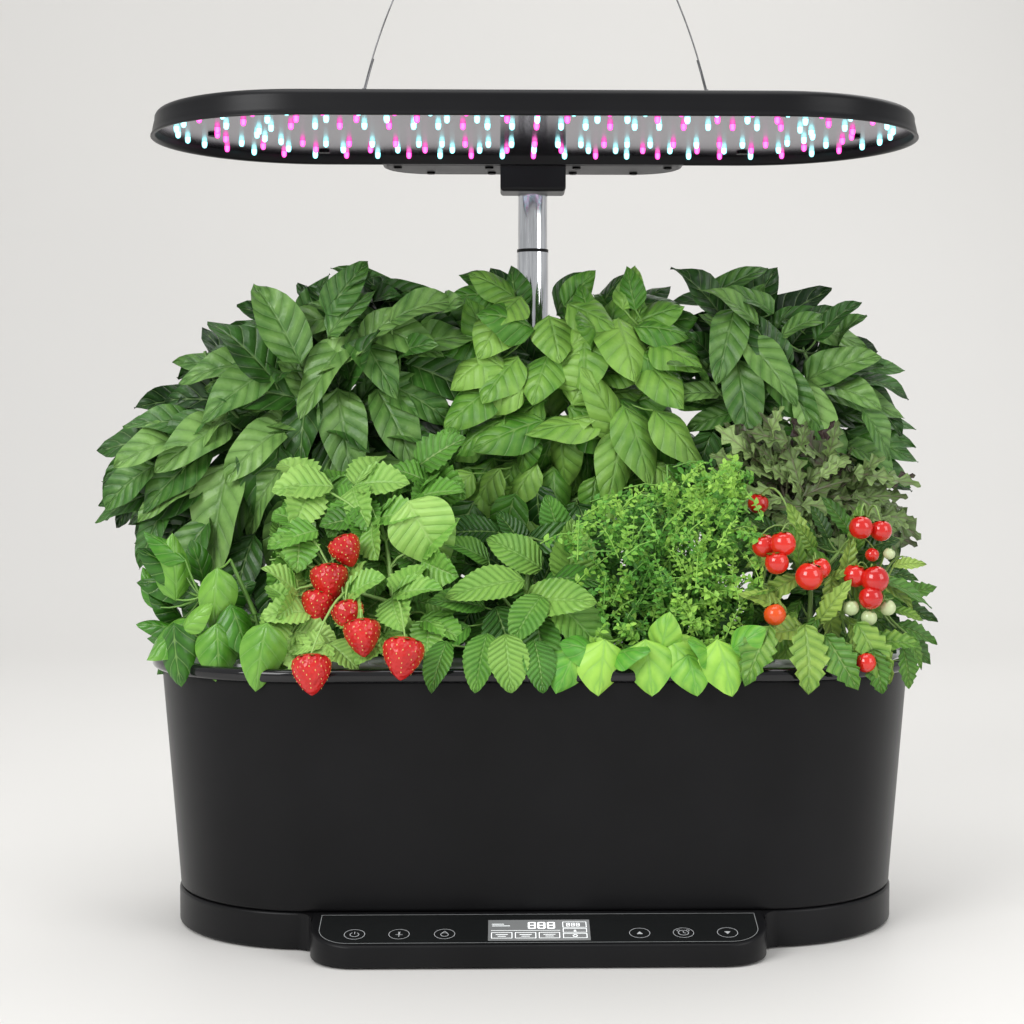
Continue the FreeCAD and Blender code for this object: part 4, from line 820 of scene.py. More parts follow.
class Bush:
    """All the blades and stalks of one plant, in millimetres."""

    def __init__(self, seed, root, box):
        self.chance = random.Random(seed)
        self.verts = []
        self.faces = []
        self.uvs = []
        self.tones = []
        self.root = Vector(root)
        self.low, self.high = Vector(box[0]), Vector(box[1])
        self.joints = [self.root]

    def held(self, point):
        """Keeps a point inside the room of the plant."""
        return Vector([min(max(p, lo + 0.4), hi - 0.4) for p, lo, hi in zip(point, self.low, self.high)])

    def blade(self, base, way, face, length, width, outline, droop=0.7, fold=0.25, cup=0.0, wave=0.1,
            tone=0.5, rows=9, cols=6):
        chance = self.chance
        way = way.normalized()
        face = (face - way * face.dot(way)).normalized()
        side = way.cross(face)
        start = len(self.verts)
        spots = []
        spot = Vector(base)
        ripple = chance.uniform(0, 6.28)
        twist = chance.uniform(-0.35, 0.35)
        for j in range(rows + 1):
            t = j / rows
            bend = droop * t
            along = way * math.cos(bend) - face * math.sin(bend)
            normal = face * math.cos(bend) + way * math.sin(bend)
            if j:
                spot = spot + along * (length / rows)
            turn = twist * t
            across = side * math.cos(turn) + normal * math.sin(turn)
            normal = normal * math.cos(turn) - side * math.sin(turn)
            for k in range(cols + 1):
                u = 2.0 * k / cols - 1.0
                wide = outline(t, abs(u)) * width / 2
                swell = math.sin(ripple + 9.0 * t + (1.5 if u > 0 else 0.0))
                rise = fold * abs(u) * wide - cup * u * u * wide + wave * width * u * u * swell
                spots.append(spot + across * (u * wide) + normal * rise)
                self.uvs.append((0.5 + 0.5 * u, t))
                self.tones.append(tone)
        shift = Vector((0.0, 0.0, 0.0))
        for axis in range(3):
            over = max(p[axis] for p in spots) - self.high[axis]
            under = self.low[axis] - min(p[axis] for p in spots)
            shift[axis] = -over if over > 0 else max(0.0, under)
        self.verts += [self.held(p + shift) for p in spots]
        for j in range(rows):
            for k in range(cols):
                a = start + j * (cols + 1) + k
                self.faces.append((a, a + 1, a + cols + 2, a + cols + 1))

    def stalk(self, start, end, thick, sag=6.0, tone=0.55, steps=4):
        """Thin round stalk between two points, bowed downwards."""
        start, end = Vector(start), Vector(end)
        way = end - start
        if way.length < 1.0:
            return
        side = way.cross(Vector((0, 1, 0.2))).normalized()
        lift = way.cross(side).normalized()
        first = len(self.verts)
        for j in range(steps + 1):
            t = j / steps
            middle = start + way * t + Vector((0, 0, -sag * 4 * t * (1 - t)))
            radius = thick * (1.0 - 0.4 * t)
            for k in range(4):
                turn = math.pi / 2 * k
                around = side * (radius * math.cos(turn)) + lift * (radius * math.sin(turn))
                self.verts.append(self.held(middle + around))
                self.uvs.append((0.5, t))
                self.tones.append(tone)
        self.faces += bands(first, steps + 1, 4)

    def stem(self, points, thick, tone=0.5):
        for a, b in zip(points, points[1:]):
            self.stalk(a, b, thick, sag=0.0, tone=tone)
            self.joints += [Vector(a), (Vector(a) + Vector(b)) / 2, Vector(b)]

    def joint_near(self, spot):
        return min(self.joints, key=lambda joint: (joint - spot).length + 0.6 * max(0.0, joint.z - spot.z))

    def leaf(self, middle, way, length, width, outline, stalk_thick=0.8, **shape):
        """One leaf whose blade is centred on a point, with its stalk."""
        way = Vector(way).normalized()
        face = Vector((self.chance.uniform(-0.35, 0.35), -0.85, self.chance.uniform(0.35, 1.0)))
        base = self.held(Vector(middle) - way * (length * 0.45))
        self.blade(base, way, face, length, width, outline, **shape)
        joint = self.joint_near(base)
        gap = base - joint
        if gap.length > 2.0:
            self.stalk(joint, base + way * 1.0, stalk_thick, sag=min(10.0, gap.length * 0.08),
                tone=shape.get("tone", 0.5) + 0.1)

    def finish(self, name, material, slot, node):
        """Turns what has grown into one piece with its vein map and tones."""
        verts = [v * MM for v in self.verts]
        piece = make(name, verts, self.faces, material, "deck", slot, replaces=(node,), uvs=self.uvs)
        layer = piece.data.attributes.new("tone", "FLOAT", "POINT")
        layer.data.foreach_set("value", self.tones)


def inside(px, py, outline):
    hit = False
    for (ax, ay), (bx, by) in zip(outline, outline[1:] + outline[:1]):
        if (ay > py) != (by > py) and px < ax + (py - ay) * (bx - ax) / (by - ay):
            hit = not hit
    return hit


def scatter(chance, outline, pitch):
    """Evenly spread places inside an outline drawn on the picture."""
    xs, ys = [p[0] for p in outline], [p[1] for p in outline]
    spots = []
    y = min(ys)
    row = 0
    while y < max(ys):
        x = min(xs) + (pitch / 2 if row % 2 else 0)
        while x < max(xs):
            px, py = x + chance.uniform(-0.4, 0.4) * pitch, y + chance.uniform(-0.4, 0.4) * pitch
            if inside(px, py, outline):
                spots.append((px, py))
            x += pitch
        y += pitch * 0.85
        row += 1
    return spots


def ovate(t, u):
    """Basil blade: widest in its lower half, drawn out to a soft tip."""
    return (math.sin(math.pi * t ** 0.72) ** 0.72 if 0 < t < 1 else 0.0) * (1.0 - 0.12 * t)


def fill(bush, outline, pitch, size_px, near, far, heart, shape, ratio=0.6, lean=0.5, tones=(0.3, 0.8),
        **extra):
    """Leaves over the whole of an outline, pointing away from the heart; leaves further back are given darker
    tones as painted shade.
    """
    chance = bush.chance
    for px, py in scatter(chance, outline, pitch):
        depth = chance.uniform(near, far)
        spot = seen_at(px, py, depth)
        out = Vector((px - heart[0], 0.0, heart[1] - py))
        out = out.normalized() if out.length > 1 else Vector((0, 0, 1))
        stray = (chance.uniform(-0.6, 0.6), -lean * chance.uniform(0.2, 1.3), chance.uniform(-0.75, 0.15))
        way = out + Vector(stray)
        long_side = chance.uniform(*size_px) * PX_MM
        # Leaves further back get a darker tone and nearer ones a lighter one: painted shade inside the bush.
        tone = chance.uniform(*tones) + 0.12 * (0.5 - (depth - near) / max(1.0, far - near))
        bush.leaf(spot, way, long_side, long_side * chance.uniform(ratio * 0.85, ratio * 1.15), shape,
            tone=tone, **extra)


dark_green = leaf_look("dark_basil", (0.008, 0.036, 0.005), (0.050, 0.160, 0.022), (0.24, 0.44, 0.11),
    (0.26, 0.43, 0.14), side_veins=6.0, relief=0.75, rough=(0.3, 0.46))

left_bush = Bush(11, (-150, 58, PLANT_Z), ((-268.0, 12.0, PLANT_Z), (-30.0, 90.5, 384.0)))
left_bush.stem([(-150, 58, PLANT_Z), (-148, 60, 210), (-152, 60, 260), (-140, 60, 320), (-110, 58, 362)], 2.6)
left_bush.stem([(-148, 60, 210), (-185, 58, 250), (-215, 56, 262)], 1.9)
left_bush.stem([(-152, 60, 260), (-190, 58, 300), (-200, 56, 330)], 1.7)
left_bush.stem([(-148, 60, 210), (-105, 58, 260), (-82, 58, 310)], 1.9)
LEFT_OUTLINE = [
    (110, 484), (150, 415), (185, 378), (212, 352), (248, 345), (262, 312), (330, 300), (345, 275),
    (372, 268), (400, 285), (430, 300), (455, 320),
]
LEFT_OUTLINE += [(455, 430), (440, 540), (380, 560), (280, 560), (200, 575), (165, 545), (135, 520)]
# The back layer takes the darkest tones and the front layer the lightest: painted shade deep in the bush.
fill(left_bush, LEFT_OUTLINE, 39, (66, 104), 66, 86, (330, 440), ovate, ratio=0.52, tones=(0.0, 0.45),
    droop=0.7, fold=0.35, wave=0.13)
fill(left_bush, LEFT_OUTLINE, 34, (62, 98), 42, 64, (320, 450), ovate, ratio=0.5, tones=(0.15, 0.7),
    droop=0.8, fold=0.35, wave=0.09)
fill(left_bush, LEFT_OUTLINE, 48, (66, 104), 28, 42, (310, 440), ovate, ratio=0.5, tones=(0.3, 0.95),
    droop=0.9, fold=0.3, wave=0.08)
HEROES_LEFT = [
    ((105, 486), (-1.0, -0.2, -0.15), 84, 34, 60, 0.35), ((142, 452), (-1.0, -0.3, -0.25), 88, 40, 52, 0.5),
    ((128, 500), (-0.9, -0.3, -0.3), 78, 32, 48, 0.45), ((168, 418), (-0.9, -0.4, 0.2), 84, 44, 50, 0.55),
    ((216, 362), (-0.8, -0.3, 0.35), 80, 38, 60, 0.7), ((270, 326), (-0.9, -0.2, 0.2), 84, 34, 62, 0.45),
    ((376, 274), (-0.7, -0.1, 0.55), 90, 32, 66, 0.5), ((404, 288), (0.9, -0.1, 0.1), 72, 28, 60, 0.35),
    ((308, 318), (-0.8, -0.3, -0.1), 92, 44, 48, 0.75), ((352, 312), (-0.6, -0.4, 0.3), 84, 36, 46, 0.6),
    ((214, 512), (-0.25, -0.4, -1.0), 128, 66, 30, 0.85), ((262, 470), (0.1, -0.4, -1.0), 112, 56, 32, 0.45),
    ((176, 470), (-0.7, -0.4, -0.5), 100, 54, 36, 0.5), ((240, 384), (-0.7, -0.4, -0.4), 100, 50, 34, 0.65),
    ((196, 436), (-0.6, -0.5, -0.3), 98, 52, 34, 0.75), ((322, 366), (-0.5, -0.5, -0.6), 104, 50, 32, 0.8),
    ((372, 352), (0.4, -0.5, -0.6), 96, 48, 32, 0.6), ((344, 428), (0.2, -0.5, -0.9), 110, 54, 30, 0.7),
    ((398, 420), (0.5, -0.5, -0.7), 104, 50, 30, 0.65), ((300, 420), (-0.2, -0.5, -0.9), 104, 50, 34, 0.35),
    ((398, 332), (0.6, -0.4, -0.2), 96, 46, 34, 0.75), ((150, 530), (-0.5, -0.3, -0.9), 78, 36, 40, 0.4),
]


def heroes(bush, table, outline, **extra):
    """Leaves placed one by one: spot, way, length, width, depth, tone."""
    for (px, py), way, long_px, wide_px, depth, tone in table:
        settings = {"droop": 0.6, "fold": 0.22, "wave": 0.06, "rows": 12, "cols": 8, **extra}
        bush.leaf(seen_at(px, py, depth), way, long_px * PX_MM, wide_px * PX_MM, outline, tone=tone,
            **settings)


# The low leaves by the tank take dark tones: painted shade under the bush.
fill(left_bush, [(225, 560), (455, 540), (455, 650), (240, 655)], 33, (60, 84), 24, 50, (340, 470), ovate,
    ratio=0.5, tones=(0.05, 0.4), droop=0.7, fold=0.3)
heroes(left_bush, HEROES_LEFT, ovate)
left_bush.finish("basil_left", dark_green, "dark_leaf", "basil_rear_left")

# Rear right basil
# The same kind of plant at the other end, a little smaller.
right_bush = Bush(23, (150, 58, PLANT_Z), ((74.0, 12.0, PLANT_Z), (236.0, 90.5, 384.0)))
right_bush.stem([(150, 58, PLANT_Z), (148, 60, 220), (150, 60, 290), (130, 60, 350)], 2.5)
right_bush.stem([(148, 60, 220), (190, 58, 270), (205, 56, 290)], 1.8)
right_bush.stem([(150, 60, 260), (175, 58, 310), (165, 56, 330)], 1.7)
RIGHT_OUTLINE = [
    (690, 300), (730, 272), (752, 268), (790, 300), (838, 318), (856, 350), (880, 360), (884, 392),
    (920, 415), (905, 470), (880, 470),
]
RIGHT_OUTLINE += [(850, 520), (760, 540), (700, 520), (686, 420)]
# The back layer takes the darkest tones and the front layer the lightest: painted shade deep in the bush.
fill(right_bush, RIGHT_OUTLINE, 40, (64, 98), 66, 86, (750, 430), ovate, ratio=0.5, tones=(0.0, 0.45),
    droop=0.7, fold=0.35, wave=0.10)
fill(right_bush, RIGHT_OUTLINE, 37, (60, 92), 44, 64, (750, 430), ovate, ratio=0.48, tones=(0.15, 0.65),
    droop=0.8, fold=0.35, wave=0.09)
fill(right_bush, RIGHT_OUTLINE, 46, (60, 92), 28, 42, (750, 420), ovate, ratio=0.46, tones=(0.3, 0.9),
    droop=0.9, fold=0.3, wave=0.08)
HEROES_RIGHT = [
    ((728, 280), (0.7, -0.1, 0.55), 90, 32, 66, 0.55), ((700, 296), (-0.9, -0.1, 0.1), 74, 28, 62, 0.4),
    ((806, 316), (0.8, -0.2, 0.1), 84, 34, 60, 0.5), ((830, 330), (0.8, -0.3, -0.2), 80, 36, 54, 0.75),
    ((866, 366), (0.9, -0.3, 0.2), 76, 30, 54, 0.55), ((862, 396), (0.9, -0.3, -0.1), 90, 38, 48, 0.7),
    ((896, 414), (1.0, -0.2, 0.0), 84, 34, 56, 0.5), ((886, 440), (1.0, -0.3, -0.2), 86, 36, 50, 0.45),
    ((880, 462), (0.9, -0.3, -0.4), 80, 32, 50, 0.4), ((818, 424), (0.3, -0.4, -1.0), 104, 50, 30, 0.95),
    ((770, 360), (0.5, -0.5, -0.5), 96, 44, 32, 0.75), ((744, 396), (0.1, -0.5, -0.9), 100, 46, 30, 0.6),
    ((790, 388), (0.5, -0.5, -0.6), 96, 42, 32, 0.6), ((728, 336), (-0.2, -0.5, -0.6), 92, 44, 34, 0.65),
]
# The low leaves by the tank take dark tones: painted shade under the bush.
fill(right_bush, [(740, 520), (900, 500), (890, 640), (740, 650)], 42, (60, 80), 24, 50, (800, 470), ovate,
    ratio=0.5, tones=(0.05, 0.4), droop=0.7, fold=0.3)
heroes(right_bush, HEROES_RIGHT, ovate)
right_bush.finish("basil_right", dark_green, "dark_leaf", "basil_rear_right")

# Rear centre basil
# A light green bush of rounded, puffed leaves that closes round the mast.
bright_green = leaf_look("bright_basil", (0.014, 0.070, 0.006), (0.075, 0.25, 0.022), (0.28, 0.53, 0.09),
    (0.33, 0.55, 0.15), side_veins=5.0, relief=0.6)
mid_bush = Bush(37, (0, 58, PLANT_Z), ((-76.0, 8.0, PLANT_Z), (108.0, 88.5, 383.0)))
mid_bush.stem([(0, 58, PLANT_Z), (2, 56, 230), (-16, 54, 300), (-28, 52, 350)], 2.4)
mid_bush.stem([(2, 56, 230), (34, 54, 290), (30, 52, 350)], 2.0)
mid_bush.stem([(34, 54, 290), (62, 52, 320), (72, 52, 340)], 1.6)
mid_bush.stem([(2, 56, 230), (50, 50, 250)], 1.6)
MID_OUTLINE = [
    (456, 305), (480, 272), (514, 266), (516, 300), (522, 345), (552, 345), (556, 300), (590, 282),
    (640, 280), (676, 312), (694, 350), (690, 420),
]
MID_OUTLINE += [(690, 500), (620, 540), (500, 540), (452, 500), (452, 380)]
# The back layer takes the darkest tones and the front layer the lightest: painted shade deep in the bush.
fill(mid_bush, MID_OUTLINE, 32, (48, 72), 62, 84, (560, 430), ovate, ratio=0.72, tones=(0.1, 0.5), droop=0.8,
    fold=-0.1, cup=0.35, wave=0.05)
fill(mid_bush, MID_OUTLINE, 30, (46, 70), 40, 62, (560, 430), ovate, ratio=0.7, tones=(0.3, 0.8), droop=0.9,
    fold=-0.1, cup=0.4, wave=0.05)
fill(mid_bush, MID_OUTLINE, 40, (48, 74), 28, 40, (560, 420), ovate, ratio=0.7, tones=(0.45, 1.0), droop=0.9,
    fold=-0.1, cup=0.4, wave=0.05)
HEROES_MID = [
    ((497, 282), (-0.6, -0.2, 0.5), 56, 42, 50, 0.7), ((476, 292), (-0.9, -0.2, 0.1), 52, 34, 50, 0.5),
    ((509, 304), (-0.4, -0.6, -0.3), 52, 44, 34, 0.85), ((494, 330), (-0.4, -0.6, -0.6), 60, 50, 32, 0.9),
    ((555, 333), (0.2, -0.6, -0.7), 56, 48, 32, 0.85), ((589, 310), (0.6, -0.4, -0.2), 62, 48, 36, 0.8),
    ((578, 290), (0.5, -0.2, 0.6), 52, 34, 52, 0.6), ((629, 341), (0.3, -0.6, -0.7), 76, 68, 28, 0.95),
    ((675, 348), (0.7, -0.4, -0.2), 64, 52, 34, 0.75), ((652, 313), (0.5, -0.3, 0.3), 60, 46, 44, 0.7),
    ((583, 358), (-0.1, -0.6, -0.8), 64, 56, 28, 0.8), ((664, 376), (0.6, -0.5, -0.5), 70, 54, 30, 0.8),
    ((540, 372), (-0.3, -0.6, -0.6), 62, 50, 28, 0.7), ((500, 372), (-0.6, -0.5, -0.5), 66, 50, 30, 0.75),
    ((612, 408), (-0.2, -0.5, 0.7), 92, 46, 27, 0.95), ((570, 420), (-1.0, -0.4, 0.1), 84, 44, 26, 0.9),
    ((681, 432), (0.7, -0.4, -0.6), 86, 52, 26, 0.85), ((640, 436), (0.4, -0.5, -0.8), 92, 52, 26, 0.75),
    ((618, 462), (-0.1, -0.5, -1.0), 84, 46, 26, 0.8), ((512, 428), (-0.8, -0.4, -0.2), 84, 52, 27, 0.55),
    ((470, 400), (-0.7, -0.4, -0.4), 70, 52, 30, 0.65),
]
# The low leaves by the tank take dark tones: painted shade under the bush.
fill(mid_bush, [(452, 500), (690, 500), (690, 645), (452, 650)], 38, (50, 70), 20, 50, (560, 450), ovate,
    ratio=0.7, tones=(0.0, 0.4), droop=0.7, cup=0.3)
heroes(mid_bush, HEROES_MID, ovate, cup=0.3, fold=-0.05, wave=0.04)
mid_bush.finish("basil_centre", bright_green, "bright_leaf", "basil_rear_centre")

# Front left basil
# Smooth, glossy, spoon-shaped leaves of a young plant that leans over the rim.
fresh_green = leaf_look("fresh_basil", (0.015, 0.075, 0.006), (0.065, 0.24, 0.018), (0.20, 0.44, 0.06),
    (0.28, 0.5, 0.12), side_veins=4.0, relief=0.35, rough=(0.24, 0.36))
front_bush = Bush(41, (-150, -58, PLANT_Z), ((-222.0, -108.0, 142.0), (-124.0, 20.0, 240.0)))
front_bush.stem([(-150, -58, PLANT_Z), (-156, -54, 180), (-170, -50, 210)], 1.6)
front_bush.stem([(-156, -54, 176), (-185, -56, 190)], 1.3)
front_bush.stem([(-150, -58, 164), (-172, -66, 166)], 1.2)
FRONT_OUTLINE = [
    (148, 560), (176, 535), (214, 556), (250, 580), (264, 620), (264, 670), (170, 672), (150, 640),
]
# The leaves behind the front ones take darker tones: painted shade inside the plant.
fill(front_bush, FRONT_OUTLINE, 30, (40, 62), -60, -20, (205, 640), ovate, ratio=0.6, tones=(0.1, 0.55),
    droop=0.5, fold=-0.1, cup=0.5, wave=0.02)
HEROES_FRONT = [
    ((176, 572), (0.05, -0.3, 1.0), 66, 36, -60, 0.75), ((153, 590), (-0.3, -0.2, 1.0), 44, 22, -50, 0.5),
    ((213, 598), (-0.1, -0.3, -1.0), 66, 40, -70, 0.85), ((168, 634), (-0.7, -0.4, -0.5), 56, 44, -72, 0.65),
    ((192, 617), (0.5, -0.3, 0.6), 40, 26, -76, 0.95), ((174, 668), (0.05, -0.3, -1.0), 62, 38, -78, 0.3),
    ((218, 650), (0.1, -0.4, -1.0), 58, 44, -80, 0.7), ((260, 664), (-0.2, -0.3, -1.0), 66, 46, -98, 0.8),
    ((240, 626), (0.4, -0.4, -0.8), 54, 38, -74, 0.5), ((150, 624), (-0.9, -0.2, 0.3), 38, 20, -56, 0.45),
]
heroes(front_bush, HEROES_FRONT, ovate, cup=0.5, fold=-0.12, wave=0.02, droop=0.5)
front_bush.finish("basil_front", fresh_green, "bright_leaf", "basil_front_left")


# Strawberry plant
# Toothed leaflets in threes on long stalks, and ripe berries that hang on
# thin arching stalks over the rim.
def toothed(teeth, cut):
    """Outline of a blade with so many teeth on each side."""
    def outline(t, u):
        whole = math.sin(math.pi * t ** 0.8) ** 0.75 if 0 < t < 1 else 0.0
        return whole * (1.0 - cut * ((t * teeth) % 1.0)) if u > 0.9 else whole
    return outline


def trefoil(bush, px, py, y, way, long_px, tone):
    """Three toothed leaflets that meet at one stalk."""
    centre = seen_at(px, py, y)
    way = Vector(way).normalized()
    face = Vector((bush.chance.uniform(-0.2, 0.2), -0.8, bush.chance.uniform(0.5, 1.0)))
    face = (face - way * face.dot(way)).normalized()
    side = way.cross(face)
    size = long_px * PX_MM
    for turn in (-1.15, 0.0, 1.15):
        out = (way * math.cos(turn) + side * math.sin(turn)).normalized()
        bush.blade(bush.held(centre + out * 1.5), out, face, size * (1.0 if turn == 0 else 0.88), size * 0.74,
            toothed(8.0, 0.24), droop=0.55, fold=0.3, wave=0.03, tone=tone + bush.chance.uniform(-0.1, 0.1),
            rows=24, cols=6)
    bush.stalk(bush.joint_near(centre), centre, 0.9, sag=-6.0, tone=0.7)


lime_green = leaf_look("strawberry_green", (0.04, 0.14, 0.015), (0.15, 0.40, 0.05), (0.36, 0.62, 0.14),
    (0.45, 0.66, 0.22), side_veins=8.0, slant=3.2, relief=0.6)
berry_bush = Bush(53, (-75, -58, PLANT_Z), ((-150.0, -112.0, 143.0), (-40.0, 24.0, 284.0)))
berry_bush.stem([(-75, -58, PLANT_Z), (-80, -52, 190), (-84, -46, 220)], 1.8)
berry_bush.stem([(-80, -52, 186), (-110, -60, 196)], 1.3)
# The leaflets behind the front ones take darker tones: painted shade inside the plant.
for px, py in scatter(berry_bush.chance, [(250, 560), (300, 480), (420, 470), (462, 520), (450, 640),
        (400, 660), (250, 650)], 31):
    turn = berry_bush.chance.uniform(0, 6.28)
    trefoil(berry_bush, px, py, berry_bush.chance.uniform(-40, 0), (math.cos(turn), -0.5, math.sin(turn)), 46,
        berry_bush.chance.uniform(0.15, 0.5))
TREFOILS = [
    ((312, 487), (-0.9, -0.4, 0.15), 62, -20, 0.9), ((352, 486), (0.8, -0.4, 0.2), 58, -24, 0.8),
    ((268, 560), (-0.6, -0.4, 0.4), 50, -40, 0.65), ((262, 612), (-0.8, -0.5, 0.1), 50, -70, 0.85),
    ((292, 632), (0.2, -0.6, -0.6), 46, -74, 0.95), ((300, 596), (-0.4, -0.5, 0.6), 48, -64, 0.8),
    ((344, 600), (0.5, -0.5, 0.5), 50, -72, 0.75), ((392, 596), (0.7, -0.5, 0.3), 52, -70, 0.7),
    ((420, 560), (0.5, -0.4, 0.8), 56, -50, 0.6), ((384, 632), (0.5, -0.6, -0.5), 48, -80, 0.75),
    ((430, 618), (0.8, -0.4, -0.2), 48, -72, 0.6), ((328, 642), (-0.3, -0.6, -0.6), 44, -82, 0.9),
    ((372, 520), (0.5, -0.5, 0.2), 58, -36, 0.6), ((410, 500), (0.7, -0.4, 0.3), 56, -26, 0.5),
    ((300, 530), (-0.7, -0.4, -0.1), 54, -40, 0.55), ((446, 470), (0.6, -0.3, 0.5), 60, -6, 0.45),
    ((244, 636), (-0.6, -0.5, -0.5), 40, -72, 0.9),
]
for (px, py), way, long_px, depth, tone in TREFOILS:
    trefoil(berry_bush, px, py, depth, way, long_px, tone)
berry_bush.leaf(seen_at(424, 531, -58), (0.5, -0.2, -0.9), 74 * PX_MM, 70 * PX_MM, ovate, tone=0.9, droop=0.5,
    fold=0.1, cup=0.1, wave=0.03, rows=14, cols=8)
berry_bush.finish("strawberry_leaves", lime_green, "berry_leaf", "strawberry")

berry_red = Look("ripe_berry")
skin_tone = berry_red.noise(70.0, 4.0)
berry_red.colour(skin_tone, [(0.25, (0.42, 0.006, 0.008)), (0.75, (0.74, 0.025, 0.022))])
pits = berry_red.node("ShaderNodeTexVoronoi", feature="F1")
pits.inputs["Scale"].default_value = 420.0
berry_red.join(berry_red.coordinates(), pits.inputs["Vector"])
berry_red.bump(pits.outputs["Distance"], 0.55, 0.0012)
socket_values(berry_red.shader, Roughness=0.25, Specular_IOR_Level=0.5)
seed_gold = ink_and_glint("seed_gold", (0.75, 0.52, 0.14), 0.0)
sepal_green = moulded("sepal_green", (0.05, 0.19, 0.02), (0.13, 0.36, 0.05), rough=(0.4, 0.55), grain=700.0,
    depth=0.3)
STRAWBERRIES = [
    ((340, 551), 17, -56, 0.9), ((328, 581), 20, -62, 0.2), ((320, 606), 18, -66, -0.3),
    ((345, 615), 17, -80, 0.5), ((361, 635), 19, -92, 0.2), ((405, 655), 21, -110, -0.2),
    ((311, 671), 20, -111, 0.1),
]


def fruit_body(verts, faces, spot, way, radius, profile, sides=20):
    """Turned fruit: profile gives (share of length, share of radius)."""
    way = way.normalized()
    side = way.cross(Vector((0, 1, 0.1))).normalized()
    other = way.cross(side).normalized()
    start = len(verts)
    for along, wide in profile:
        for k in range(sides):
            turn = 2 * math.pi * k / sides
            across = side * (wide * radius * math.cos(turn)) + other * (wide * radius * math.sin(turn))
            verts.append((spot + way * (along * radius) + across) * MM)
    faces += bands(start, len(profile), sides, turned=True)
    return side, other


SEPAL_WIDTH = 0.24


def sepals(verts, faces, spot, way, radius, count, long_share, curl):
    """Star of narrow green leaves round the top of a fruit."""
    way = way.normalized()
    side = way.cross(Vector((0, 1, 0.1))).normalized()
    other = way.cross(side).normalized()
    for n in range(count):
        turn = 2 * math.pi * n / count
        out = side * math.cos(turn) + other * math.sin(turn)
        flank = way.cross(out)
        start = len(verts)
        for j in range(6):
            t = j / 5
            wide = SEPAL_WIDTH * radius * math.sin(math.pi * (0.18 + 0.82 * t)) ** 0.8
            centre = spot + out * (radius * long_share * t) + way * (radius * (0.08 + curl * t * t))
            ridge = centre + way * (-0.1 * radius * (1 - t))
            verts += [(centre - flank * wide) * MM, ridge * MM, (centre + flank * wide) * MM]
        for j in range(5):
            for k in range(2):
                a = start + 3 * j + k
                faces.append((a, a + 1, a + 4, a + 3))


BERRY_PX_MM, TOMATO_PX_MM = 0.53, 0.545
BERRY_SHAPE = [
    (0.0, 0.0), (0.02, 0.42), (0.12, 0.74), (0.32, 0.95), (0.6, 1.0), (0.95, 0.93), (1.3, 0.76), (1.65, 0.52),
    (1.9, 0.28), (2.03, 0.1), (2.06, 0.0),
]
berry_verts, berry_faces, cap_verts, cap_faces, seed_verts, seed_faces = [], [], [], [], [], []
berry_stalks = Bush(59, (-75, -58, PLANT_Z), ((-150.0, -116.0, 130.0), (-40.0, 24.0, 284.0)))
berry_stalks.joints = [Vector((-84, -48, 205)), Vector((-100, -58, 194)), Vector((-80, -52, 188))]
for (px, py), half_px, depth, lean in STRAWBERRIES:
    radius = half_px * BERRY_PX_MM
    down = Vector((lean * 0.5, -0.25, -1.0)).normalized()
    spot = seen_at(px, py - half_px * 0.85, depth)
    side, other = fruit_body(berry_verts, berry_faces, spot, down, radius, BERRY_SHAPE)
    sepals(cap_verts, cap_faces, spot, down, radius, 9, 1.0, 0.12)
    for j in range(1, 9):
        along = 0.12 + j * 0.2
        wide = next(w0 + (w1 - w0) * (along - a0) / (a1 - a0)
            for (a0, w0), (a1, w1) in zip(BERRY_SHAPE, BERRY_SHAPE[1:]) if a0 <= along <= a1)
        ring = max(4, int(11 * wide))
        for k in range(ring):
            turn = 2 * math.pi * (k + 0.5 * (j % 2)) / ring
            out = side * math.cos(turn) + other * math.sin(turn)
            flank = down.cross(out)
            centre = spot + down * (along * radius) + out * (wide * radius + 0.04)
            start = len(seed_verts)
            tips = (-down * 0.62, -flank * 0.36, out * 0.34, flank * 0.36, down * 0.62)
            seed_verts += [(centre + tip) * MM for tip in tips]
            seed_faces += [(start + a, start + b, start + c)
                for a, b, c in ((0, 1, 2), (0, 2, 3), (1, 4, 2), (2, 4, 3))]
    berry_stalks.stalk(berry_stalks.joint_near(spot), spot, 0.9, sag=-9.0, tone=0.8, steps=7)
make("strawberries", berry_verts, berry_faces, berry_red.material, "deck", "berry_leaf",
    replaces=("strawberry",))
make("strawberry_seeds", seed_verts, seed_faces, seed_gold, "deck", "berry_leaf", replaces=("strawberry",))
make("strawberry_caps", cap_verts, cap_faces, sepal_green, "deck", "berry_leaf", replaces=("strawberry",))
berry_stalks.finish("strawberry_stalks", lime_green, "berry_leaf", "strawberry")

# Mint
# Pointed leaves with sunken side veins in crossed pairs on square stems.
mint_green = leaf_look("mint_green", (0.02, 0.085, 0.010), (0.085, 0.27, 0.030), (0.24, 0.47, 0.08),
    (0.32, 0.54, 0.14), side_veins=10.0, slant=4.2, relief=0.8)
mint_bush = Bush(61, (0, -58, PLANT_Z), ((-66.0, -110.0, 142.0), (42.0, 22.0, 246.0)))
mint_bush.stem([(0, -58, PLANT_Z), (-6, -54, 190), (-4, -48, 222)], 1.7)
mint_bush.stem([(-4, -56, 170), (-24, -60, 196)], 1.3)
mint_bush.stem([(-4, -56, 170), (10, -60, 192)], 1.3)
MINT_OUTLINE = [
    (430, 560), (470, 520), (560, 510), (620, 530), (640, 600), (620, 660), (440, 665), (425, 610),
]
# The leaves behind the front ones take darker tones: painted shade inside the plant.
fill(mint_bush, MINT_OUTLINE, 34, (50, 70), -50, -10, (530, 600), toothed(12.0, 0.13), ratio=0.55,
    tones=(0.0, 0.4), droop=0.5, fold=0.25, wave=0.04, rows=24)
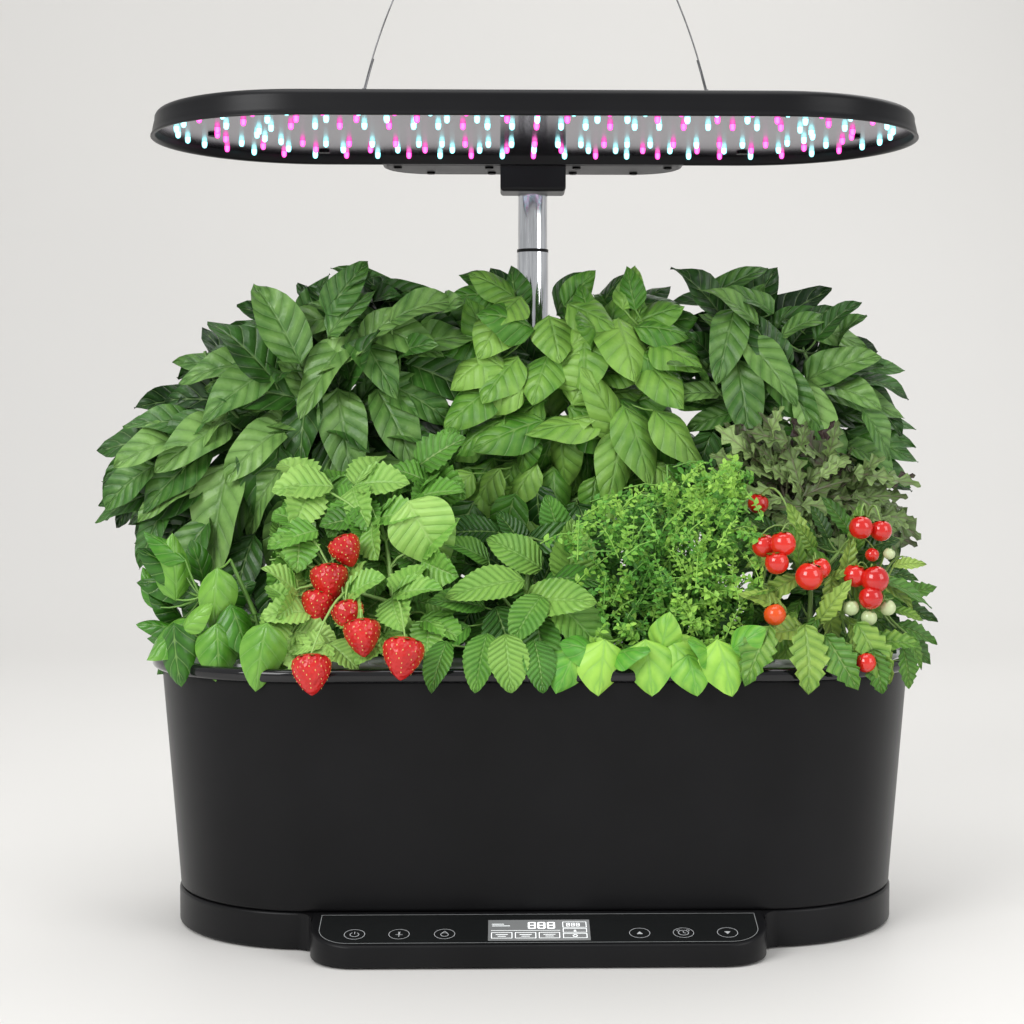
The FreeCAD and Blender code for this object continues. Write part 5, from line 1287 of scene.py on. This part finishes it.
MINT_LEAVES = [
    ((572, 556), (0.15, -0.3, 1.0), 64, 50, -60, 0.95), ((520, 553), (-0.8, -0.3, 0.6), 62, 38, -58, 0.8),
    ((490, 583), (-1.0, -0.4, -0.05), 78, 38, -76, 0.85), ((549, 597), (0.6, -0.6, 0.2), 84, 44, -78, 0.9),
    ((590, 622), (0.75, -0.4, -0.6), 92, 46, -80, 0.75), ((604, 538), (1.0, -0.2, 0.08), 84, 36, -50, 0.2),
    ((506, 636), (0.3, -0.5, -0.8), 72, 44, -80, 0.25), ((462, 600), (-0.8, -0.4, 0.3), 58, 32, -72, 0.55),
    ((446, 636), (-0.8, -0.5, -0.3), 60, 34, -80, 0.45), ((540, 640), (0.1, -0.6, -0.7), 66, 40, -84, 0.5),
    ((556, 522), (-0.3, -0.2, 1.0), 54, 32, -44, 0.5), ((470, 548), (-0.7, -0.3, 0.5), 56, 32, -52, 0.6),
    ((528, 612), (-0.4, -0.6, -0.4), 60, 36, -84, 0.6), ((620, 576), (0.9, -0.3, 0.1), 66, 30, -66, 0.4),
    ((480, 660), (-0.2, -0.5, -0.6), 60, 34, -98, 0.6), ((508, 666), (0.1, -0.5, -0.9), 56, 40, -103, 0.9),
    ((438, 664), (-0.3, -0.5, -0.7), 52, 30, -101, 0.5), ((540, 664), (0.2, -0.5, -0.7), 52, 32, -101, 0.4),
]
heroes(mint_bush, MINT_LEAVES, toothed(13.0, 0.14), rows=26, cols=8, fold=0.25, droop=0.55, wave=0.03)
mint_bush.finish("mint_leaves", mint_green, "mint_leaf", "mint")

# Fine herbs
# Thyme and curled parsley: hundreds of tiny leaflets along thin sprigs, with
# a skirt of small round basil leaves over the rim.
herb_green = leaf_look("herb_green", (0.02, 0.10, 0.010), (0.10, 0.36, 0.035), (0.36, 0.66, 0.09),
    (0.3, 0.55, 0.12), side_veins=3.0, relief=0.3)
fine_bush = Bush(71, (75, -58, PLANT_Z), ((-14.0, -112.0, 140.0), (122.0, 24.0, 290.0)))
for x, y, z in ((40, -60, 190), (56, -40, 236), (74, -30, 262), (90, -50, 226), (30, -30, 214),
        (66, -70, 200), (92, -20, 250)):
    fine_bush.stem([(75 + (x - 75) * 0.2, -58 + (y + 58) * 0.2, PLANT_Z + 4), (x, y, z)], 1.1)


def sprig(bush, px, py, y, way, length, pairs, leaflet, tone, outline=ovate):
    """A thin stem with small leaflets in pairs."""
    chance = bush.chance
    tip = seen_at(px, py, y)
    way = Vector(way).normalized()
    base = tip - way * length
    bush.stalk(bush.held(base), bush.held(tip), 0.45, sag=-2.0, tone=tone + 0.2, steps=2)
    side = way.cross(Vector((chance.uniform(-0.4, 0.4), 1, chance.uniform(-0.4, 0.4)))).normalized()
    other = way.cross(side)
    for k in range(pairs):
        t = (k + 1.0) / pairs
        turn = k * 1.9 + chance.uniform(-0.4, 0.4)
        for flip in (0.0, math.pi):
            out = side * math.cos(turn + flip) + other * math.sin(turn + flip)
            size = leaflet * chance.uniform(0.75, 1.2) * (1.0 - 0.35 * t)
            bush.blade(bush.held(base + way * (length * t)), out + way * 0.7,
                Vector((out.x * 0.2, -0.8, 0.7)), size, size * 0.62, outline, droop=0.5, fold=0.2, wave=0.05,
                tone=tone + chance.uniform(-0.18, 0.18), rows=3, cols=2)


spread = fine_bush.chance.uniform
FINE_OUTLINE = [
    (575, 520), (600, 492), (650, 486), (694, 462), (740, 460), (752, 500), (750, 600), (735, 652),
    (600, 656), (590, 600),
]
# The back layer takes the darkest tones and the front layer the lightest: painted shade deep in the bush.
for depth, pitch, tones in ((-15, 18, (0.0, 0.35)), (-45, 15, (0.2, 0.6)), (-74, 14, (0.4, 0.95))):
    for px, py in scatter(fine_bush.chance, FINE_OUTLINE, pitch):
        way = (spread(-0.8, 0.8), spread(-0.7, 0.1), spread(0.0, 1.0))
        warm = 0.14 if px > 680 or py < 520 else -0.08
        sprig(fine_bush, px, py, depth + spread(-10, 10), way, spread(14, 26), 8, spread(3.4, 6.0),
            spread(*tones) + warm)
for px, py in scatter(fine_bush.chance, [(690, 470), (735, 452), (742, 488), (715, 500)], 12):
    sprig(fine_bush, px, py, -20, (spread(-0.6, 0.6), -0.3, 1.0), 16, 7, 8.0, 0.85, outline=toothed(3.0, 0.4))
SKIRT = [
    ((603, 664), (-0.1, -0.5, -1.0), 54, 52, -103, 0.95), ((649, 668), (0.1, -0.5, -1.0), 54, 50, -104, 0.8),
    ((681, 650), (0.5, -0.5, -0.4), 46, 42, -99, 0.85), ((694, 672), (0.3, -0.5, -0.9), 40, 40, -104, 0.7),
    ((727, 666), (0.3, -0.5, -0.8), 56, 48, -104, 0.85), ((626, 648), (0.4, -0.5, 0.3), 44, 36, -99, 0.5),
    ((568, 668), (-0.4, -0.5, -0.8), 46, 40, -103, 0.6), ((708, 646), (-0.3, -0.5, 0.4), 40, 36, -99, 0.6),
    ((585, 646), (-0.5, -0.4, 0.3), 42, 36, -98, 0.45), ((664, 636), (0.1, -0.4, 0.8), 40, 34, -98, 0.75),
    ((744, 640), (0.5, -0.4, 0.5), 40, 34, -99, 0.6),
]
# The small leaves behind the skirt take dark tones: painted shade behind it.
fill(fine_bush, [(612, 560), (722, 560), (730, 655), (612, 655)], 17, (24, 36), -46, -24, (665, 650),
    toothed(3.0, 0.4), ratio=0.8, tones=(0.0, 0.3), droop=0.5, fold=0.1, wave=0.03)
heroes(fine_bush, SKIRT, ovate, cup=0.4, fold=-0.1, wave=0.03)
fine_bush.finish("fine_herbs", herb_green, "fine_leaf", "parsley")

# Dusky herb
# A loose grey-purple plant with feathery lobed leaves behind the tomatoes.
purple_green = leaf_look("purple_green", (0.055, 0.035, 0.030), (0.11, 0.18, 0.050), (0.31, 0.46, 0.15),
    (0.26, 0.20, 0.16), side_veins=4.0, relief=0.5)


def lobed(lobes, cut):
    """Outline of a feathery blade, cut in rounded lobes."""
    def outline(t, u):
        whole = math.sin(math.pi * t ** 0.8) ** 0.7 if 0 < t < 1 else 0.0
        return whole * (1.0 - cut * (0.5 + 0.5 * math.cos(2 * math.pi * t * lobes)) * u)
    return outline


dusk_bush = Bush(83, (150, 0, PLANT_Z), ((98.0, -22.0, PLANT_Z), (232.0, 24.0, 296.0)))
dusk_bush.stem([(150, 0, PLANT_Z), (152, 2, 220), (140, 4, 262)], 1.7)
dusk_bush.stem([(152, 2, 220), (186, 4, 256)], 1.4)
dusk_bush.stem([(152, 2, 216), (168, 4, 268)], 1.2)
DUSK_OUTLINE = [
    (726, 470), (740, 426), (790, 420), (850, 450), (895, 480), (910, 520), (880, 560), (760, 560),
    (735, 520),
]
# The back layer takes the darkest tones and the front layer the lightest: painted shade deep in the plant.
for depth, tones in ((14, (0.0, 0.5)), (0, (0.25, 0.8)), (-10, (0.4, 1.0))):
    fill(dusk_bush, DUSK_OUTLINE, 23, (34, 54), depth - 4, depth + 6, (810, 520), lobed(3.6, 0.72),
        ratio=0.62, tones=tones, lean=0.4, droop=0.4, fold=0.2, wave=0.06, rows=16, cols=6, stalk_thick=0.6)
dusk_bush.finish("dusky_leaves", purple_green, "purple_leaf", "purple_herb")

# Tomato plant
# Toothed and narrow yellow-green leaflets with trusses of small tomatoes,
# most of them ripe.
tomato_green = leaf_look("tomato_green", (0.02, 0.075, 0.008), (0.085, 0.24, 0.025), (0.33, 0.50, 0.09),
    (0.35, 0.5, 0.15), side_veins=7.0, relief=0.7)
vine = Bush(97, (150, -58, PLANT_Z), ((100.0, -110.0, 140.0), (226.0, 4.0, 262.0)))
vine.stem([(150, -58, PLANT_Z), (152, -56, 200), (140, -52, 236)], 1.9)
vine.stem([(152, -56, 196), (184, -50, 232)], 1.5)
vine.stem([(150, -58, 170), (186, -60, 190)], 1.4)
vine.stem([(150, -58, 170), (124, -60, 192)], 1.3)
VINE_OUTLINE = [
    (742, 560), (752, 520), (820, 512), (880, 520), (912, 560), (924, 630), (910, 668), (750, 668),
    (738, 620),
]
# The back layer takes dark tones and the front layer light ones: painted shade deep in the plant.
fill(vine, VINE_OUTLINE, 24, (34, 56), -52, -16, (830, 600), toothed(6.0, 0.3), ratio=0.42, tones=(0.0, 0.5),
    droop=0.6, fold=0.3, wave=0.06, rows=18)
fill(vine, VINE_OUTLINE, 33, (34, 58), -84, -56, (830, 590), toothed(6.0, 0.3), ratio=0.38, tones=(0.4, 1.0),
    droop=0.6, fold=0.3, wave=0.06, rows=18)
VINE_LEAVES = [
    ((758, 650), (-0.5, -0.5, -0.8), 62, 36, -101, 0.6), ((810, 654), (0.1, -0.5, -0.9), 66, 40, -102, 0.75),
    ((840, 658), (0.4, -0.5, -0.7), 60, 34, -101, 0.5), ((874, 648), (0.5, -0.5, -0.8), 66, 36, -96, 0.65),
    ((878, 676), (0.2, -0.4, -1.0), 44, 26, -98, 0.4), ((908, 676), (0.2, -0.3, -1.0), 42, 22, -80, 0.45),
    ((912, 592), (0.8, -0.3, 0.3), 46, 22, -50, 0.5), ((916, 630), (0.8, -0.3, -0.2), 44, 22, -56, 0.5),
    ((790, 628), (-0.5, -0.5, 0.1), 60, 30, -86, 0.9), ((770, 600), (-0.6, -0.4, 0.4), 54, 22, -84, 0.95),
    ((830, 606), (0.3, -0.5, 0.6), 56, 22, -86, 0.95), ((848, 566), (0.2, -0.4, 0.9), 52, 20, -70, 0.85),
    ((800, 528), (-0.3, -0.3, 1.0), 48, 20, -60, 0.8), ((890, 640), (0.7, -0.4, 0.1), 50, 26, -84, 0.6),
]
heroes(vine, VINE_LEAVES, toothed(6.0, 0.34), rows=20, cols=6, fold=0.3, droop=0.6)
TOMATOES = [
    ((783, 544), 13, -84, 1), ((764, 546), 12, -78, 1), ((777, 563), 12, -86, 1), ((809, 577), 14, -88, 1),
    ((820, 569), 11, -82, 1), ((775, 615), 11, -90, 2), ((861, 528), 12, -76, 1), ((881, 531), 11, -72, 1),
    ((872, 555), 7, -74, 1), ((855, 576), 12, -80, 1), ((875, 580), 14, -84, 1), ((871, 598), 12, -86, 1),
    ((866, 663), 10, -97, 1), ((889, 554), 6, -72, 0), ((908, 562), 5, -66, 0), ((888, 608), 8, -82, 0),
    ((869, 618), 8, -84, 0), ((851, 608), 8, -84, 0), ((758, 504), 11, -30, 1),
]
ripe = Look("ripe_tomato")
blush = ripe.noise(26.0, 2.0)
ripe.colour(blush, [(0.3, (0.55, 0.006, 0.006)), (0.75, (0.80, 0.028, 0.012))])
ripe.bump(ripe.noise(900.0, 2.0), 0.04, 0.0003)
socket_values(ripe.shader, Roughness=0.12, Specular_IOR_Level=0.6, Coat_Weight=0.4, Coat_Roughness=0.05)
orange_skin = moulded("turning_tomato", (0.72, 0.07, 0.010), (0.86, 0.13, 0.015), rough=(0.12, 0.2),
    depth=0.03, Specular_IOR_Level=0.6)
pale_skin = moulded("green_tomato", (0.42, 0.56, 0.24), (0.62, 0.70, 0.40), rough=(0.16, 0.26), depth=0.03,
    Specular_IOR_Level=0.6)
TOMATO_SHAPE = [
    (0.06, 0.0), (0.0, 0.22), (0.05, 0.45), (0.2, 0.72), (0.45, 0.9), (0.8, 1.0), (1.15, 0.98), (1.45, 0.85),
    (1.7, 0.6), (1.83, 0.32), (1.88, 0.0),
]
heaps = [([], []), ([], []), ([], [])]
star_verts, star_faces = [], []
vine_chance = random.Random(5)
for (px, py), half_px, depth, tone in TOMATOES:
    radius = half_px * TOMATO_PX_MM
    down = Vector((vine_chance.uniform(-0.5, 0.5), vine_chance.uniform(-0.5, 0.1), -1.0)).normalized()
    top = seen_at(px, py, depth) - down * (0.94 * radius)
    fruit_body(*heaps[tone], top, down, radius, TOMATO_SHAPE, sides=22)
    sepals(star_verts, star_faces, top, down, radius, 5, 0.85, -0.05)
    vine.stalk(vine.joint_near(top), top, 0.8, sag=-8.0, tone=0.8, steps=6)
vine.finish("tomato_leaves", tomato_green, "tomato_leaf", "tomato")
skins = ((1, "tomatoes_ripe", ripe.material), (2, "tomato_turning", orange_skin),
    (0, "tomatoes_green", pale_skin))
for tone, name, skin in skins:
    make(name, *heaps[tone], skin, "deck", "tomato_leaf", replaces=("tomato",))
make("tomato_stars", star_verts, star_faces, sepal_green, "deck", "tomato_leaf", replaces=("tomato",))

# Studio
# A plain pale table with a backdrop that rises behind it, lit by soft panels.
scene.view_settings.view_transform = "Standard"
TABLE_COLOUR = (0.80, 0.785, 0.76)
table_look = Look("table")
table_look.colour(table_look.noise(2.0, 2.0), [(0.3, tuple(c * 0.985 for c in TABLE_COLOUR)),
    (0.7, TABLE_COLOUR)])
socket_values(table_look.shader, Roughness=0.55)
floor_mesh = bpy.data.meshes.new("table_top")
TABLE_HALF, TABLE_FRONT, TABLE_REAR, COVE, WALL_TOP = 3.2, -2.2, 1.3, 0.9, 3.4
section = [(TABLE_FRONT, 0.0), (TABLE_REAR, 0.0)] + arc(TABLE_REAR, COVE, COVE, -81, 0, 9)
section.append((TABLE_REAR + COVE, WALL_TOP))
table_points = [(x, y, z) for y, z in section for x in (-TABLE_HALF, TABLE_HALF)]
floor_mesh.from_pydata(table_points, [], [(i, i + 1, i + 3, i + 2)
    for i in range(0, 2 * len(section) - 2, 2)])
floor_mesh.polygons.foreach_set("use_smooth", [True] * len(floor_mesh.polygons))
floor = bpy.data.objects.new("table_top", floor_mesh)
floor_mesh.materials.append(table_look.material)
scene.collection.objects.link(floor)


def light_panel(name, place, aim, width, height, power):
    data = bpy.data.lights.new(name, "AREA")
    data.shape = "RECTANGLE"
    data.size, data.size_y = width, height
    data.energy = power
    lamp = bpy.data.objects.new(name, data)
    lamp.location = place
    lamp.rotation_euler = (Vector(aim) - Vector(place)).to_track_quat("-Z", "Y").to_euler()
    scene.collection.objects.link(lamp)


light_panel("front_left", (-1.3, -1.5, 1.3), (0, 0, 0.25), 1.1, 1.1, 28)
light_panel("front_right", (1.5, -1.2, 1.0), (0, 0, 0.25), 1.0, 1.3, 12)
light_panel("overhead", (0.0, -0.1, 1.9), (0, 0, 0.2), 1.4, 1.2, 13)
light_panel("rear", (0.9, 1.3, 1.9), (0, 0, 0.25), 1.4, 1.2, 9)
world = bpy.data.worlds.new("studio")
scene.world = world
world.use_nodes = True
room_light = world.node_tree.nodes["Background"]
room_light.inputs["Color"].default_value = (0.86, 0.87, 0.88, 1.0)
room_light.inputs["Strength"].default_value = 0.6
